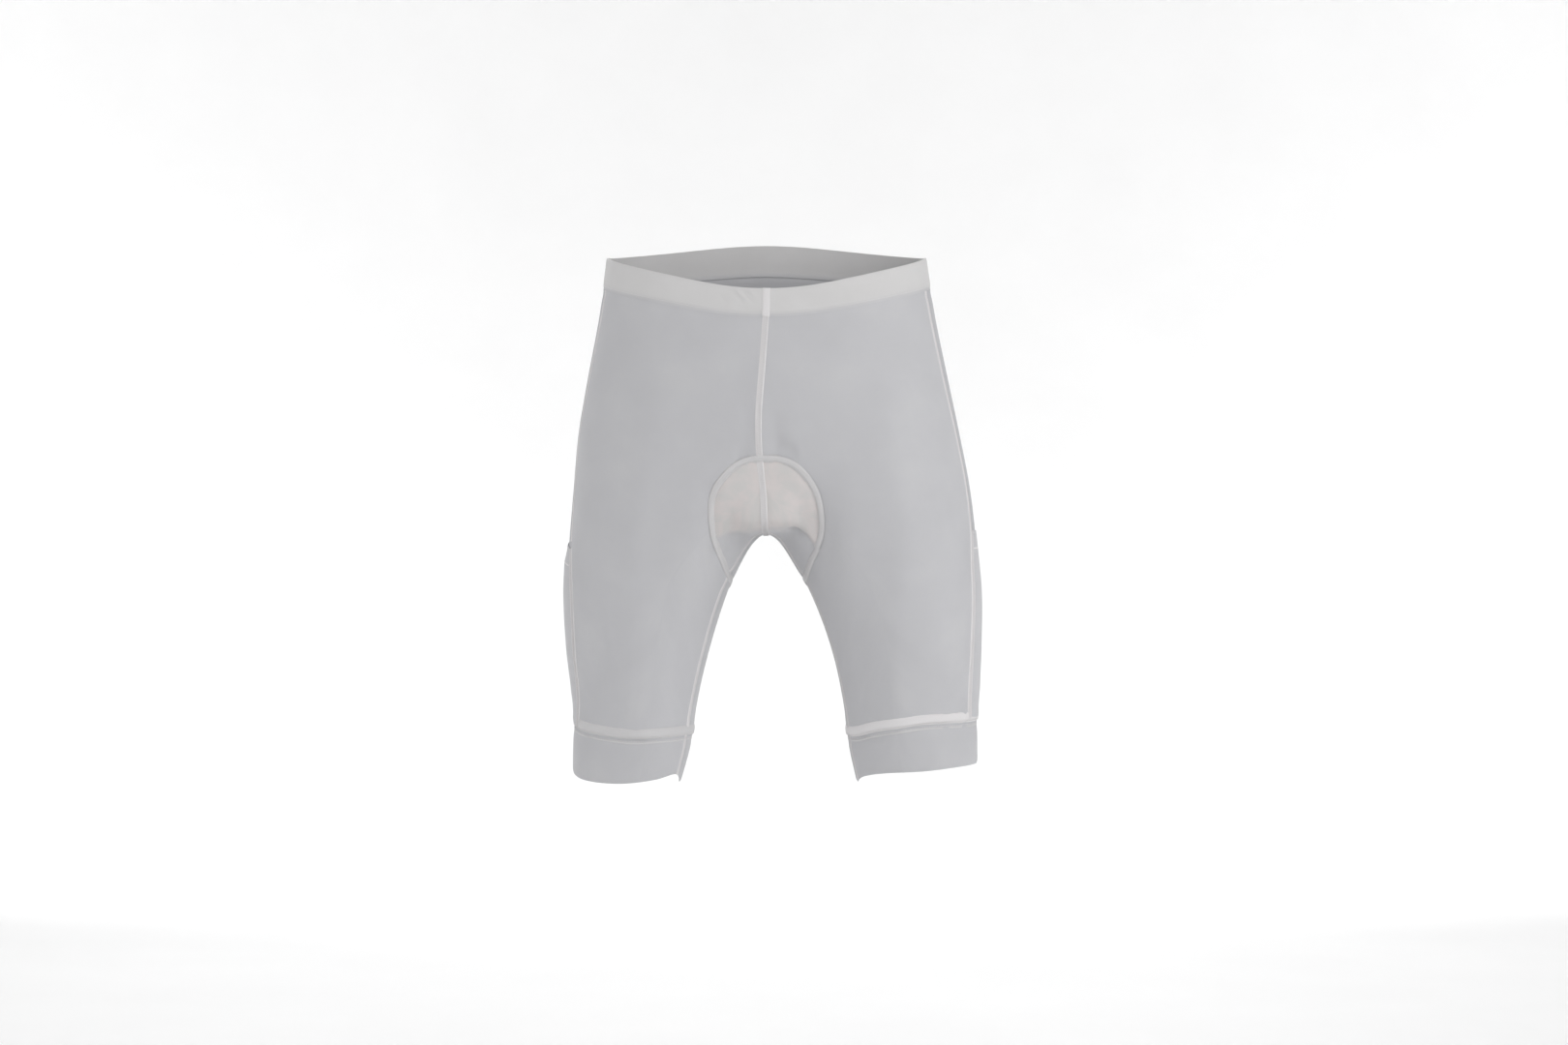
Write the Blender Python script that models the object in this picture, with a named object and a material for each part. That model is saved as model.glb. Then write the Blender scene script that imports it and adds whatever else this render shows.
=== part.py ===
"""Padded cycling shorts, worn shape, hollow: band, front, side and back panels, pockets, cuffs and seat pad.

Front faces -Y, the wearer's left is +X, up is +Z.  The origin is the middle of the waist opening,
level with the top of the band at the hips.  Sizes are in millimetres and are turned into metres
when the meshes are made.
"""
import math

import bpy
import numpy as np

for old in list(bpy.data.objects):
    bpy.data.objects.remove(old, do_unlink=True)

# ---------------------------------------------------------------- driving sizes (mm)
CLOTH = 1.2            # knitted panels
BAND = 2.4             # waistband, doubled cloth over elastic
BAND_LIFT = 0.4        # the band's face stands this far over the panels
CUFF = 1.8             # leg cuffs, doubled cloth
CUFF_LIFT = 0.2
POCKET = 1.0           # pocket cloth
GAP = 0.3              # between pieces at a seam, and between layers
PAD_EDGE = 2.0         # seat pad at its edge
PAD_MIDDLE = 8.0       # seat pad in its middle
PAD_GAP = 2.6          # between the cloth and the pad's faceted solid

BAND_HEIGHT = {"front": 28.5, "side": 31.5, "back": 33.0}
WAIST_DROP_FRONT = 39.5        # top of the band at the front, below the hips
WAIST_RISE_BACK = 22.0         # top of the band at the back, above the hips
FORK_Z = -238.0                # where the centre seams turn towards the crotch
RING_Z = -342.0                # first level ring of each leg below the crotch
JOIN_BLEND = 52.0              # roundness where the two legs join
POUCH_BLEND = 16.0

# sections from the waist down.  outer: from the middle line to the hip side of each leg;
# inner: to its inner side, negative where the leg reaches over the middle line.
SECTION_COLUMNS = ("z", "outer_r", "outer_l", "inner_r", "inner_l", "front", "back", "power")
SECTIONS = [
    (30.0, 160.0, 161.5, -161.5, -160.0, -111.0, 106.0, 2.30),
    (0.0, 163.0, 165.0, -165.0, -163.0, -113.0, 106.0, 2.30),
    (-60.0, 171.0, 174.5, -158.0, -156.0, -117.0, 112.0, 2.35),
    (-120.0, 182.5, 187.0, -132.0, -130.0, -119.0, 127.0, 2.40),
    (-180.0, 193.0, 200.0, -90.0, -88.0, -117.0, 139.0, 2.45),
    (-240.0, 198.5, 211.5, -40.0, -38.0, -109.0, 134.0, 2.45),
    (-290.0, 202.5, 217.0, 12.0, 14.0, -99.0, 114.0, 2.35),
    (-315.0, 204.5, 218.5, 27.0, 30.0, -95.0, 104.0, 2.25),
    (-340.0, 205.5, 220.5, 37.5, 43.5, -91.0, 97.0, 2.20),
    (-400.0, 203.0, 220.5, 57.0, 67.0, -81.0, 88.0, 2.10),
    (-460.0, 197.0, 218.5, 71.0, 80.5, -70.0, 76.0, 2.05),
    (-500.0, 198.5, 218.5, 77.0, 85.5, -64.0, 68.0, 2.05),
    (-548.0, 199.0, 219.0, 90.0, 96.0, -60.0, 61.0, 2.05),
]

# side seams, as the distance in y from the middle of the section (front of it is negative)
SEAM_COLUMNS = ("z", "front_r", "front_l", "back_r", "back_l")
SEAMS = [
    (20.0, -31.0, -38.0, 34.0, 34.0),
    (-60.0, -34.0, -43.0, 38.0, 38.0),
    (-150.0, -38.0, -50.0, 44.0, 44.0),
    (-230.0, -39.0, -51.0, 52.0, 52.0),
    (-290.0, -41.0, -48.0, 58.0, 58.0),
    (-350.0, -46.0, -46.0, 62.0, 62.0),
    (-420.0, -38.0, -43.0, 56.0, 56.0),
    (-480.0, -30.0, -38.0, 48.0, 48.0),
    (-548.0, -26.0, -34.0, 42.0, 42.0),
]

# the centre front seam wanders a little: its x at each height
CENTRE_COLUMNS = ("z", "x")
CENTRE = [(0.0, 1.0), (-60.0, 1.0), (-120.0, -3.0), (-173.0, -6.5), (-206.0, -5.5), (-240.0, -2.0), (-285.0, 4.0)]

# soft pouch that the pad fills between the thighs at the front
POUCH = {"x": 2.0, "y": -60.0, "z": -240.0, "rx": 43.0, "ry": 43.5, "rz": 41.0, "power": 3.2}

# angle round each leg, from straight out (0) to the front (-90) and the back (90), below the crotch
LEG_ANGLES = {"front": -104.0, "back": 116.0}
INSEAM_ANGLE = {"r": -152.0, "l": -166.0}

# levels of the cuff: its seam and its lower edge at the outer, front, inner and back side
CUFF_COLUMNS = ("angle", "seam_r", "edge_r", "seam_l", "edge_l")
CUFF_LEVELS = [
    (-180.0, -489.0, -541.0, -490.0, -541.0),
    (-150.0, -488.0, -531.0, -489.0, -533.0),
    (-120.0, -489.0, -535.0, -482.0, -528.0),
    (-90.0, -489.0, -538.0, -476.0, -526.0),
    (-45.0, -484.0, -536.0, -474.0, -522.0),
    (0.0, -478.0, -530.0, -474.0, -521.0),
    (60.0, -482.0, -533.0, -478.0, -527.0),
    (120.0, -488.0, -536.0, -485.0, -532.0),
    (150.0, -489.0, -534.0, -488.0, -533.0),
    (180.0, -489.0, -541.0, -490.0, -541.0),
]
POCKET_MOUTH = {"r": -290.0, "l": -280.0}

# seat pad: half width along the centre line, from its front end under the crotch to its back end
PAD_COLUMNS = ("s", "half_r", "half_l")
PAD_START_Z = -210.0
PAD = [
    (0.0, 5.0, 16.0),
    (4.0, 19.0, 30.0),
    (11.0, 29.5, 39.0),
    (18.0, 37.0, 44.0),
    (27.0, 44.5, 48.5),
    (38.0, 50.0, 52.0),
    (52.0, 53.0, 55.0),
    (70.0, 53.0, 56.0),
    (95.0, 54.5, 57.0),
    (115.0, 58.5, 60.0),
    (138.0, 62.5, 64.0),
    (160.0, 62.0, 63.0),
    (205.0, 78.0, 78.0),
    (250.0, 88.0, 88.0),
    (290.0, 76.0, 76.0),
    (312.0, 44.0, 44.0),
    (318.0, 16.0, 16.0),
]

# mesh density
N_INNER_FRONT, N_FRONT, N_SIDE, N_BACK, N_INNER_BACK = 8, 7, 3, 7, 7
N_BAND, N_TORSO, N_TO_POCKET, N_TO_RING, N_LEG, N_CUFF = 2, 9, 4, 5, 6, 2
N_PAD_LONG, N_PAD_HALF = 26, 6


# ---------------------------------------------------------------- curves through the tables
def spline(rows, column, columns):
    """A smooth curve through one column of a table, held level past its ends."""
    k = columns.index(column)
    pts = sorted((r[0], r[k]) for r in rows)
    x = np.array([p[0] for p in pts])
    y = np.array([p[1] for p in pts])
    n = len(x)
    h = np.diff(x)
    slope = np.diff(y) / h
    m = np.zeros(n)
    m[0], m[-1] = slope[0], slope[-1]
    for i in range(1, n - 1):
        m[i] = (slope[i - 1] * h[i] + slope[i] * h[i - 1]) / (h[i - 1] + h[i])

    def curve(v):
        v = np.clip(v, x[0], x[-1])
        i = np.clip(np.searchsorted(x, v) - 1, 0, n - 2)
        t = (v - x[i]) / h[i]
        a = (1 + 2 * t) * (1 - t) ** 2
        b = t * (1 - t) ** 2
        c = t * t * (3 - 2 * t)
        d = t * t * (t - 1)
        return a * y[i] + b * h[i] * m[i] + c * y[i + 1] + d * h[i] * m[i + 1]
    return curve


SEC = {c: spline(SECTIONS, c, SECTION_COLUMNS) for c in SECTION_COLUMNS[1:]}
SEAM = {c: spline(SEAMS, c, SEAM_COLUMNS) for c in SEAM_COLUMNS[1:]}
CENTRE_X = spline(CENTRE, "x", CENTRE_COLUMNS)
CUFF_Z = {c: spline(CUFF_LEVELS, c, CUFF_COLUMNS) for c in CUFF_COLUMNS[1:]}
PAD_HALF = {c: spline(PAD, c, PAD_COLUMNS) for c in PAD_COLUMNS[1:]}
SIGN = {"r": -1.0, "l": 1.0}


def smooth(t):
    t = np.clip(t, 0.0, 1.0)
    return t * t * (3 - 2 * t)


# ---------------------------------------------------------------- the form
def tube(side, z):
    """Centre, half width, half depth and squareness of one leg's section at height z."""
    outer, inner = SEC["outer_" + side](z), SEC["inner_" + side](z)
    front, back = SEC["front"](z), SEC["back"](z)
    return (SIGN[side] * (outer + inner) / 2, (front + back) / 2,
            (outer - inner) / 2, (back - front) / 2, SEC["power"](z))


def soft_min(a, b, k):
    h = np.maximum(k - np.abs(a - b), 0.0) / np.maximum(k, 1e-6)
    return np.minimum(a, b) - h ** 3 * k / 6.0


def tube_distance(p, side):
    cx, cy, a, b, n = tube(side, p[..., 2])
    dx, dy = p[..., 0] - cx, p[..., 1] - cy
    r = np.hypot(dx, dy)
    rho = (np.abs(dx / a) ** n + np.abs(dy / b) ** n) ** (1.0 / n)
    return r * (1.0 - 1.0 / np.maximum(rho, 1e-4))


def field(p):
    """Below zero inside the worn form, above zero outside, near to a distance in mm."""
    z = p[..., 2]
    cx = SEC["outer_l"](z) + SEC["inner_l"](z)
    k = JOIN_BLEND * smooth(cx / 120.0)
    d = soft_min(tube_distance(p, "l"), tube_distance(p, "r"), k)
    q = POUCH
    u = np.abs((p[..., 0] - q["x"]) / q["rx"])
    v = np.abs((p[..., 1] - q["y"]) / q["ry"])
    w = np.abs((z - q["z"]) / q["rz"])
    rho = (u ** q["power"] + v ** q["power"] + w ** q["power"]) ** (1 / q["power"])
    r = np.sqrt((p[..., 0] - q["x"]) ** 2 + (p[..., 1] - q["y"]) ** 2 + (z - q["z"]) ** 2)
    pouch = r * (1.0 - 1.0 / np.maximum(rho, 1e-4))
    return soft_min(d, pouch, POUCH_BLEND)


def gradient(p, h=0.4):
    g = np.empty_like(p)
    for i in range(3):
        e = np.zeros(3)
        e[i] = h
        g[..., i] = (field(p + e) - field(p - e)) / (2 * h)
    return g


def normals(p):
    g = gradient(p)
    return g / np.linalg.norm(g, axis=-1, keepdims=True)


def project(p, hold_x=False, steps=8, level=0.0):
    """Move points onto the form, or onto the like form at a level inside it."""
    p = p.copy()
    for _ in range(steps):
        g = gradient(p)
        if hold_x:
            g[..., 0] = 0.0
        f = field(p) - level
        move = -f / np.maximum((g ** 2).sum(-1), 1e-3)
        p += np.clip(move, -12, 12)[..., None] * g
    return p


def cast(origin, direction, reach):
    """Where rays that start inside the form leave it, no further than their reach."""
    lo, hi = np.zeros_like(reach), reach.copy()
    for _ in range(34):
        mid = (lo + hi) / 2
        inside = field(origin + mid[..., None] * direction) < 0
        lo, hi = np.where(inside, mid, lo), np.where(inside, hi, mid)
    return origin + ((lo + hi) / 2)[..., None] * direction


# ---------------------------------------------------------------- lines on the form
def middle_x(z, back):
    return CENTRE_X(z) * (0.0 if back else 1.0)


def middle_point(z, back):
    """Where the centre front or centre back seam is at height z."""
    z = np.asarray(z, float)
    x = middle_x(z, back) + 0 * z
    cy = (SEC["front"](z) + SEC["back"](z)) / 2
    o = np.stack([x, cy, z], -1)
    d = np.zeros_like(o)
    d[..., 1] = 1.0 if back else -1.0
    return cast(o, d, np.full(z.shape, 190.0))


def crotch_curve(front, back, inseam_y=-36.0):
    """Points along the centre seam: even steps from the front to the inseams, and from there to the back."""
    turn = np.linspace(0, 1, 241)
    f0, b0 = middle_point(FORK_Z, False), middle_point(FORK_Z, True)
    hub = np.array([0.0, 6.0, FORK_Z])
    a = math.pi * turn
    x = f0[0] * (1 - turn) ** 2 + 4.0 * 4 * turn * (1 - turn) ** 3
    o = np.stack([x, np.full_like(x, hub[1]), np.full_like(x, hub[2])], -1)
    d = np.stack([0 * a, -np.cos(a), -np.sin(a)], -1)
    p = cast(o, d, np.full(a.shape, 170.0))
    k = int(np.argmax((p[:, 1] > inseam_y) & (p[:, 2] < FORK_Z - 20)))
    return np.concatenate([even(p[:k + 1], front), even(p[k:], back)[1:]])


def even(p, n):
    step = np.linalg.norm(np.diff(p, axis=0), axis=1)
    s = np.concatenate([[0], np.cumsum(step)])
    t = np.linspace(0, s[-1], n + 1)
    return np.stack([np.interp(t, s, p[:, i]) for i in range(3)], -1)


def band_levels(angle):
    """Top and lower edge of the waistband at an angle round the waist."""
    s = np.sin(np.radians(angle))
    front, back = np.maximum(-s, 0.0), np.maximum(s, 0.0)
    top = -WAIST_DROP_FRONT * front ** 1.35 + WAIST_RISE_BACK * back ** 1.35
    high = (BAND_HEIGHT["side"] + (BAND_HEIGHT["front"] - BAND_HEIGHT["side"]) * front ** 2
            + (BAND_HEIGHT["back"] - BAND_HEIGHT["side"]) * back ** 2)
    return top, top - high


def seam_angle(side, which, z):
    """Angle round the leg's centre at which a side seam lies."""
    _, _, a, b, n = tube(side, z)
    dy = SEAM[which + "_" + side](z)
    dx = a * (1 - np.abs(dy / b) ** n) ** (1 / n)
    return np.degrees(np.arctan2(dy, dx))


def turn_angle(side, z, back):
    """Angle of the line that the leg's columns turn at: the centre seam, and below it the leg's own."""
    cx, cy, _, _, _ = tube(side, z)
    top = np.maximum(z, FORK_Z)
    m = middle_point(top, back)
    c, y, _, _, _ = tube(side, top)
    a = np.degrees(np.arctan2(m[..., 1] - y, SIGN[side] * (m[..., 0] - c)))
    end = LEG_ANGLES["back" if back else "front"]
    t = smooth((FORK_Z - z) / (FORK_Z - RING_Z))
    return a + (end - a) * t


# columns of a half: the inseam, the front turn, the two side seams, the back turn and the inseam again
K_FRONT = N_INNER_FRONT
K_SF = K_FRONT + N_FRONT
K_SB = K_SF + N_SIDE
K_BACK = K_SB + N_BACK
K_END = K_BACK + N_INNER_BACK
# rows of a half
R_BAND = N_BAND
R_FORK = R_BAND + N_TORSO
R_POCKET = R_FORK + N_TO_POCKET
R_RING = R_POCKET + N_TO_RING
R_CUFF = R_RING + N_LEG
R_END = R_CUFF + N_CUFF


def outer_angles(side, z):
    """Angles of the columns from the front turn to the back turn, each at its own height z."""
    keys = [turn_angle(side, z, False), seam_angle(side, "front", z), seam_angle(side, "back", z),
            turn_angle(side, z, True)]
    marks = [K_FRONT, K_SF, K_SB, K_BACK]
    out = np.empty_like(z)
    for j in range(K_FRONT, K_BACK + 1):
        i = min(2, sum(j >= m for m in marks[1:]))
        t = (j - marks[i]) / (marks[i + 1] - marks[i])
        out[..., j - K_FRONT] = (keys[i] * (1 - t) + keys[i + 1] * t)[..., j - K_FRONT]
    return out


def ring_angles(side):
    """Angles of a level ring from the inseam round the front, side and back to the inseam."""
    a0 = INSEAM_ANGLE[side]
    inner_f = [a0 + (LEG_ANGLES["front"] - a0) * j / N_INNER_FRONT for j in range(N_INNER_FRONT)]
    inner_b = [LEG_ANGLES["back"] + (a0 + 360 - LEG_ANGLES["back"]) * j / N_INNER_BACK
               for j in range(1, N_INNER_BACK + 1)]
    return inner_f, inner_b


def radial(side, angle, z):
    """Points of the form at angles round the leg's centre."""
    cx, cy, a, b, _ = tube(side, z)
    r = np.radians(angle)
    d = np.stack([SIGN[side] * np.cos(r), np.sin(r), 0 * z], -1)
    o = np.stack([cx, cy, z], -1)
    reach = 1.45 * np.maximum(a, b)
    back = d[..., 1] > 0
    mx = np.where(back, 0.0, CENTRE_X(z))
    toward = SIGN[side] * d[..., 0] < -1e-6
    limit = (cx - mx) * SIGN[side] / np.maximum(-SIGN[side] * d[..., 0], 1e-6)
    reach = np.where(toward, np.minimum(reach, limit), reach)
    return cast(o, d, reach)


def half(side):
    """Points of one half, rows from the waist to the cuff's edge, columns round from the inseam."""
    p = np.full((R_END + 1, K_END + 1, 3), np.nan)
    outer = slice(K_FRONT, K_BACK + 1)
    # heights of the outer columns
    z0 = np.zeros(K_BACK - K_FRONT + 1)
    for _ in range(3):
        top, low = band_levels(outer_angles(side, z0))
        z0 = top
    frac = [(i / N_BAND) for i in range(N_BAND + 1)]
    for i in range(R_BAND + 1):
        z = top + (low - top) * frac[i]
        p[i, outer] = radial(side, outer_angles(side, z), z)
    for i in range(R_BAND, R_FORK + 1):
        z = low + (FORK_Z - low) * (i - R_BAND) / N_TORSO
        p[i, outer] = radial(side, outer_angles(side, z), z)
    for j, back in ((K_FRONT, False), (K_BACK, True)):
        p[:R_FORK + 1, j] = middle_point(p[:R_FORK + 1, j, 2], back)
    mouth = POCKET_MOUTH[side]
    for i in range(R_FORK + 1, R_RING + 1):
        if i <= R_POCKET:
            z = FORK_Z + (mouth - FORK_Z) * (i - R_FORK) / N_TO_POCKET
        else:
            z = mouth + (RING_Z - mouth) * (i - R_POCKET) / N_TO_RING
        zz = np.full(K_BACK - K_FRONT + 1, z)
        p[i, outer] = radial(side, outer_angles(side, zz), zz)
    # level rings below the crotch
    inner_f, inner_b = ring_angles(side)
    for i in range(R_RING, R_END + 1):
        if i <= R_CUFF:
            t, up, lo = (i - R_RING) / N_LEG, None, "seam_"
        else:
            t, up, lo = (i - R_CUFF) / N_CUFF, "seam_", "edge_"
        z = np.full(K_END + 1, RING_Z)
        for _ in range(3):
            mid = outer_angles(side, z[outer])
            ang = np.concatenate([inner_f, mid, inner_b])
            wrapped = (ang + 180) % 360 - 180
            zlo = CUFF_Z[lo + side](wrapped)
            zup = RING_Z if up is None else CUFF_Z[up + side](wrapped)
            z = zup + (zlo - zup) * t
        p[i] = radial(side, ang, z)
    # the crotch: from the centre seam down to the first ring
    seam = crotch_curve(N_INNER_FRONT, N_INNER_BACK)
    front = seam[:N_INNER_FRONT + 1][::-1]
    back = seam[N_INNER_FRONT:][::-1]
    p[R_FORK, :K_FRONT + 1] = front
    p[R_FORK, K_BACK:] = back
    rows = R_RING - R_FORK
    for i in range(R_FORK + 1, R_RING):
        t = (i - R_FORK) / rows
        for cols, edge in ((range(0, K_FRONT), K_FRONT), (range(K_BACK + 1, K_END + 1), K_BACK)):
            for j in cols:
                a, b = p[R_FORK, j], p[R_RING, j]
                p[i, j] = a + (b - a) * t
    inner = [j for j in range(K_END + 1) if j < K_FRONT or j > K_BACK]
    block = p[R_FORK + 1:R_RING][:, inner]
    p[R_FORK + 1:R_RING, inner] = project(block)
    # relax the crotch so that its lines run evenly, keeping every point on the form
    for _ in range(12):
        q = p.copy()
        for i in range(R_FORK + 1, R_RING):
            for j in inner:
                jl = K_END - 1 if j == 0 else j - 1
                jr = 1 if j == K_END else j + 1
                q[i, j] = 0.5 * p[i, j] + 0.125 * (p[i - 1, j] + p[i + 1, j] + p[i, jl] + p[i, jr])
        block = project(q[R_FORK + 1:R_RING][:, inner], steps=2)
        p[R_FORK + 1:R_RING, inner] = block
        p[R_FORK + 1:R_RING, K_END] = p[R_FORK + 1:R_RING, 0]
    p[:, K_END] = p[:, 0]
    return p


# ---------------------------------------------------------------- making solids
def shell(points, faces, thick, lift=0.0, trim=GAP / 2):
    """A closed wall on some faces of the form: its face is lift over them, its back thick further in.
    The edges are trimmed so that neighbours keep a gap."""
    used = sorted({v for f in faces for v in f})
    pos = {v: i for i, v in enumerate(used)}
    p = np.array([points[v] for v in used])
    nrm = normals(p)
    faces = [tuple(pos[v] for v in f) for f in faces]
    edge = {}
    for f in faces:
        for a, b in zip(f, f[1:] + f[:1]):
            edge[(a, b)] = f
    border = [(a, b, f) for (a, b), f in edge.items() if (b, a) not in edge]
    inward = {}
    for a, b, f in border:
        run = p[b] - p[a]
        m = np.cross(nrm[a] + nrm[b], run)
        m /= np.linalg.norm(m)
        c = p[list(f)].mean(0) - (p[a] + p[b]) / 2
        if np.dot(m, c) < 0:
            m = -m
        inward.setdefault(a, []).append(m)
        inward.setdefault(b, []).append(m)
    shift = np.zeros_like(p)
    for v, ms in inward.items():
        s = sum(ms)
        if len(ms) == 2:
            shift[v] = trim * s / max(0.3, 1 + float(np.dot(ms[0], ms[1])))
        else:
            shift[v] = trim * s / len(ms)
    out = p + shift + lift * nrm
    inn = p + shift + (lift - thick) * nrm
    n = len(p)
    verts = np.concatenate([out, inn]) * 0.001
    halves = [t for f in faces for t in ((f[0], f[1], f[2]), (f[0], f[2], f[3]))]
    polys = halves + [tuple(v + n for v in reversed(f)) for f in halves]
    for a, b, f in border:
        polys += [(b, a, a + n), (b, a + n, b + n)]
    return verts, polys


def make(name, verts, polys, colour, rough):
    me = bpy.data.meshes.new(name)
    me.from_pydata([tuple(v) for v in verts], [], polys)
    me.validate()
    me.shade_smooth()
    me.set_sharp_from_angle(angle=math.radians(50))
    mat = bpy.data.materials.new(name)
    mat.use_nodes = True
    bsdf = mat.node_tree.nodes["Principled BSDF"]
    bsdf.inputs["Base Color"].default_value = (*colour, 1)
    bsdf.inputs["Roughness"].default_value = rough
    bsdf.inputs["Metallic"].default_value = 0.0
    me.materials.append(mat)
    ob = bpy.data.objects.new(name, me)
    bpy.context.scene.collection.objects.link(ob)
    ob.parent = WAIST
    return ob


def grid_faces(rows, cols, side, ident):
    """Quads of a half between two rows and two columns, wound so that they face out."""
    faces = []
    for i in range(*rows):
        for j in range(*cols):
            f = (ident(i, j), ident(i + 1, j), ident(i + 1, j + 1), ident(i, j + 1))
            if side == "r":
                f = f[::-1]
            faces.append(f)
    return faces


CLOTH_COLOUR = (0.62, 0.62, 0.63)
BAND_COLOUR = (0.72, 0.71, 0.71)
PAD_COLOUR = (0.66, 0.63, 0.61)

WAIST = bpy.data.objects.new("waist_opening", None)
bpy.context.scene.collection.objects.link(WAIST)

POINTS = {s: half(s) for s in "rl"}
NAMES = {"r": "right", "l": "left"}
COLS = K_END + 1


def build_half(side):
    p = POINTS[side]
    flat = p.reshape(-1, 3)
    name = NAMES[side]

    def ident(i, j):
        return i * COLS + j

    def panel(label, rows_cols, thick, lift, colour, rough):
        faces = []
        for rows, cols in rows_cols:
            faces += grid_faces(rows, cols, side, ident)
        v, q = shell(flat, faces, thick, lift)
        make(label + "_" + name, v, q, colour, rough)

    panel("front", [((R_BAND, R_FORK), (K_FRONT, K_SF)), ((R_FORK, R_CUFF), (0, K_SF))],
          CLOTH, 0.0, CLOTH_COLOUR, 0.62)
    panel("side", [((R_BAND, R_CUFF), (K_SF, K_SB))], CLOTH, 0.0, CLOTH_COLOUR, 0.62)
    panel("back", [((R_BAND, R_FORK), (K_SB, K_BACK)), ((R_FORK, R_CUFF), (K_SB, K_END))],
          CLOTH, 0.0, CLOTH_COLOUR, 0.62)
    panel("pocket", [((R_POCKET, R_CUFF), (K_SF, K_SB))], POCKET, GAP + POCKET, CLOTH_COLOUR, 0.6)
    panel("hem", [((R_CUFF, R_END), (0, K_END))], CUFF, CUFF_LIFT, CLOTH_COLOUR, 0.6)


def build_band():
    """One strip round the waist, its ends meeting at the centre front."""
    right = POINTS["r"][:R_BAND + 1, K_FRONT:K_BACK + 1]
    left = POINTS["l"][:R_BAND + 1, K_FRONT:K_BACK + 1]
    loop = np.concatenate([right, left[:, ::-1][:, 1:]], axis=1)
    wide = loop.shape[1]
    flat = loop.reshape(-1, 3)
    faces = [(i * wide + j, i * wide + j + 1, (i + 1) * wide + j + 1, (i + 1) * wide + j)
             for i in range(N_BAND) for j in range(wide - 1)]
    v, q = shell(flat, faces, BAND, BAND_LIFT)
    make("waistband", v, q, BAND_COLOUR, 0.58)


def pad_points():
    """Points of the form under the pad: along the centre seam, then sideways in even steps."""
    z = np.linspace(PAD_START_Z, FORK_Z, 24)
    zb = np.linspace(FORK_Z, FORK_Z + 130, 60)
    line = np.concatenate([middle_point(z, False)[:-1], crotch_curve(150, 250), middle_point(zb, True)[1:]])
    step = np.linalg.norm(np.diff(line, axis=0), axis=1)
    s = np.concatenate([[0], np.cumsum(step)])
    want = np.linspace(0, PAD[-1][0], N_PAD_LONG + 1)
    mid = np.stack([np.interp(want, s, line[:, i]) for i in range(3)], -1)
    mid = project(mid, hold_x=True)
    ahead = np.gradient(mid, axis=0)
    ahead[:, 0] = 0
    ahead /= np.linalg.norm(ahead, axis=1, keepdims=True)
    rows = {}
    for side in "rl":
        wide = PAD_HALF["half_" + side](want)
        p, cols = mid.copy(), [mid.copy()]
        fine = 4
        for _ in range(N_PAD_HALF):
            for _ in range(fine):
                out = np.cross(ahead, normals(p))
                out *= np.sign(out[:, 0:1]) * SIGN[side]
                out /= np.linalg.norm(out, axis=1, keepdims=True)
                p = project(p + out * (wide / (N_PAD_HALF * fine))[:, None], steps=2)
            cols.append(p.copy())
        rows[side] = cols
    grid = rows["r"][::-1] + rows["l"][1:]
    return np.stack(grid, 1), want


def build_pad():
    grid, _ = pad_points()
    long, wide = grid.shape[:2]
    u = (np.arange(long) / (long - 1) * 2 - 1)[:, None]
    w = ((np.arange(wide) - N_PAD_HALF) / N_PAD_HALF)[None, :]
    thick = PAD_EDGE + (PAD_MIDDLE - PAD_EDGE) * (1 - u ** 6) * (1 - np.abs(w) ** 3)
    face = project(grid, level=-(CLOTH + PAD_GAP))
    back = project(face, level=-(CLOTH + PAD_GAP) - thick)
    n = long * wide
    verts = np.concatenate([face.reshape(-1, 3), back.reshape(-1, 3)]) * 0.001
    polys = []
    for i in range(long - 1):
        for j in range(wide - 1):
            a, b, c, d = i * wide + j, (i + 1) * wide + j, (i + 1) * wide + j + 1, i * wide + j + 1
            polys += [(a, b, c), (a, c, d), (n + c, n + b, n + a), (n + d, n + c, n + a)]
    rim = ([j for j in range(wide)] + [i * wide + wide - 1 for i in range(1, long)]
           + [(long - 1) * wide + j for j in range(wide - 2, -1, -1)] + [i * wide for i in range(long - 2, 0, -1)])
    for a, b in zip(rim, rim[1:] + rim[:1]):
        polys += [(a, b, n + b), (a, n + b, n + a)]
    make("pad", verts, polys, PAD_COLOUR, 0.8)


for which in "rl":
    build_half(which)
build_band()
build_pad()
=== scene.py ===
import math

import bpy
import numpy as np
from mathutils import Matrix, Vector
from mathutils.kdtree import KDTree


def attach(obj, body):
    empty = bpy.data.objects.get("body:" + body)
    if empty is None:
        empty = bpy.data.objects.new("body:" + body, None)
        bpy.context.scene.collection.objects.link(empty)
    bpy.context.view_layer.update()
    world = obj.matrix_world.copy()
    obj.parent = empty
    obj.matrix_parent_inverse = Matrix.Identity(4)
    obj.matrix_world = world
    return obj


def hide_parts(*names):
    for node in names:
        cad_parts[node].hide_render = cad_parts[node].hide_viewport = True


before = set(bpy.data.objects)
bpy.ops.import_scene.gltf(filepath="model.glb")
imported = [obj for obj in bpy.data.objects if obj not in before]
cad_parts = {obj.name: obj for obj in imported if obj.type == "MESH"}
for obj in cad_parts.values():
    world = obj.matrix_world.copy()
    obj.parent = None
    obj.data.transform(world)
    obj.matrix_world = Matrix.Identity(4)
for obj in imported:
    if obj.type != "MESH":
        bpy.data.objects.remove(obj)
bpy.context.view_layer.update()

# ================================================================ camera (sizes in metres)
# the picture is 1620 x 1080: 1 pixel is 1 mm at the middle of the garment
CAM_AT = (0.019, -3.2, -0.273)
CAM_WIDTH = 1.620          # what the picture's width holds at the garment's middle
cam_data = bpy.data.cameras.new("camera")
cam_data.sensor_width = 36.0
cam_data.lens = 36.0 * 3.2 / CAM_WIDTH
cam_data.clip_end = 60.0
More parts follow.
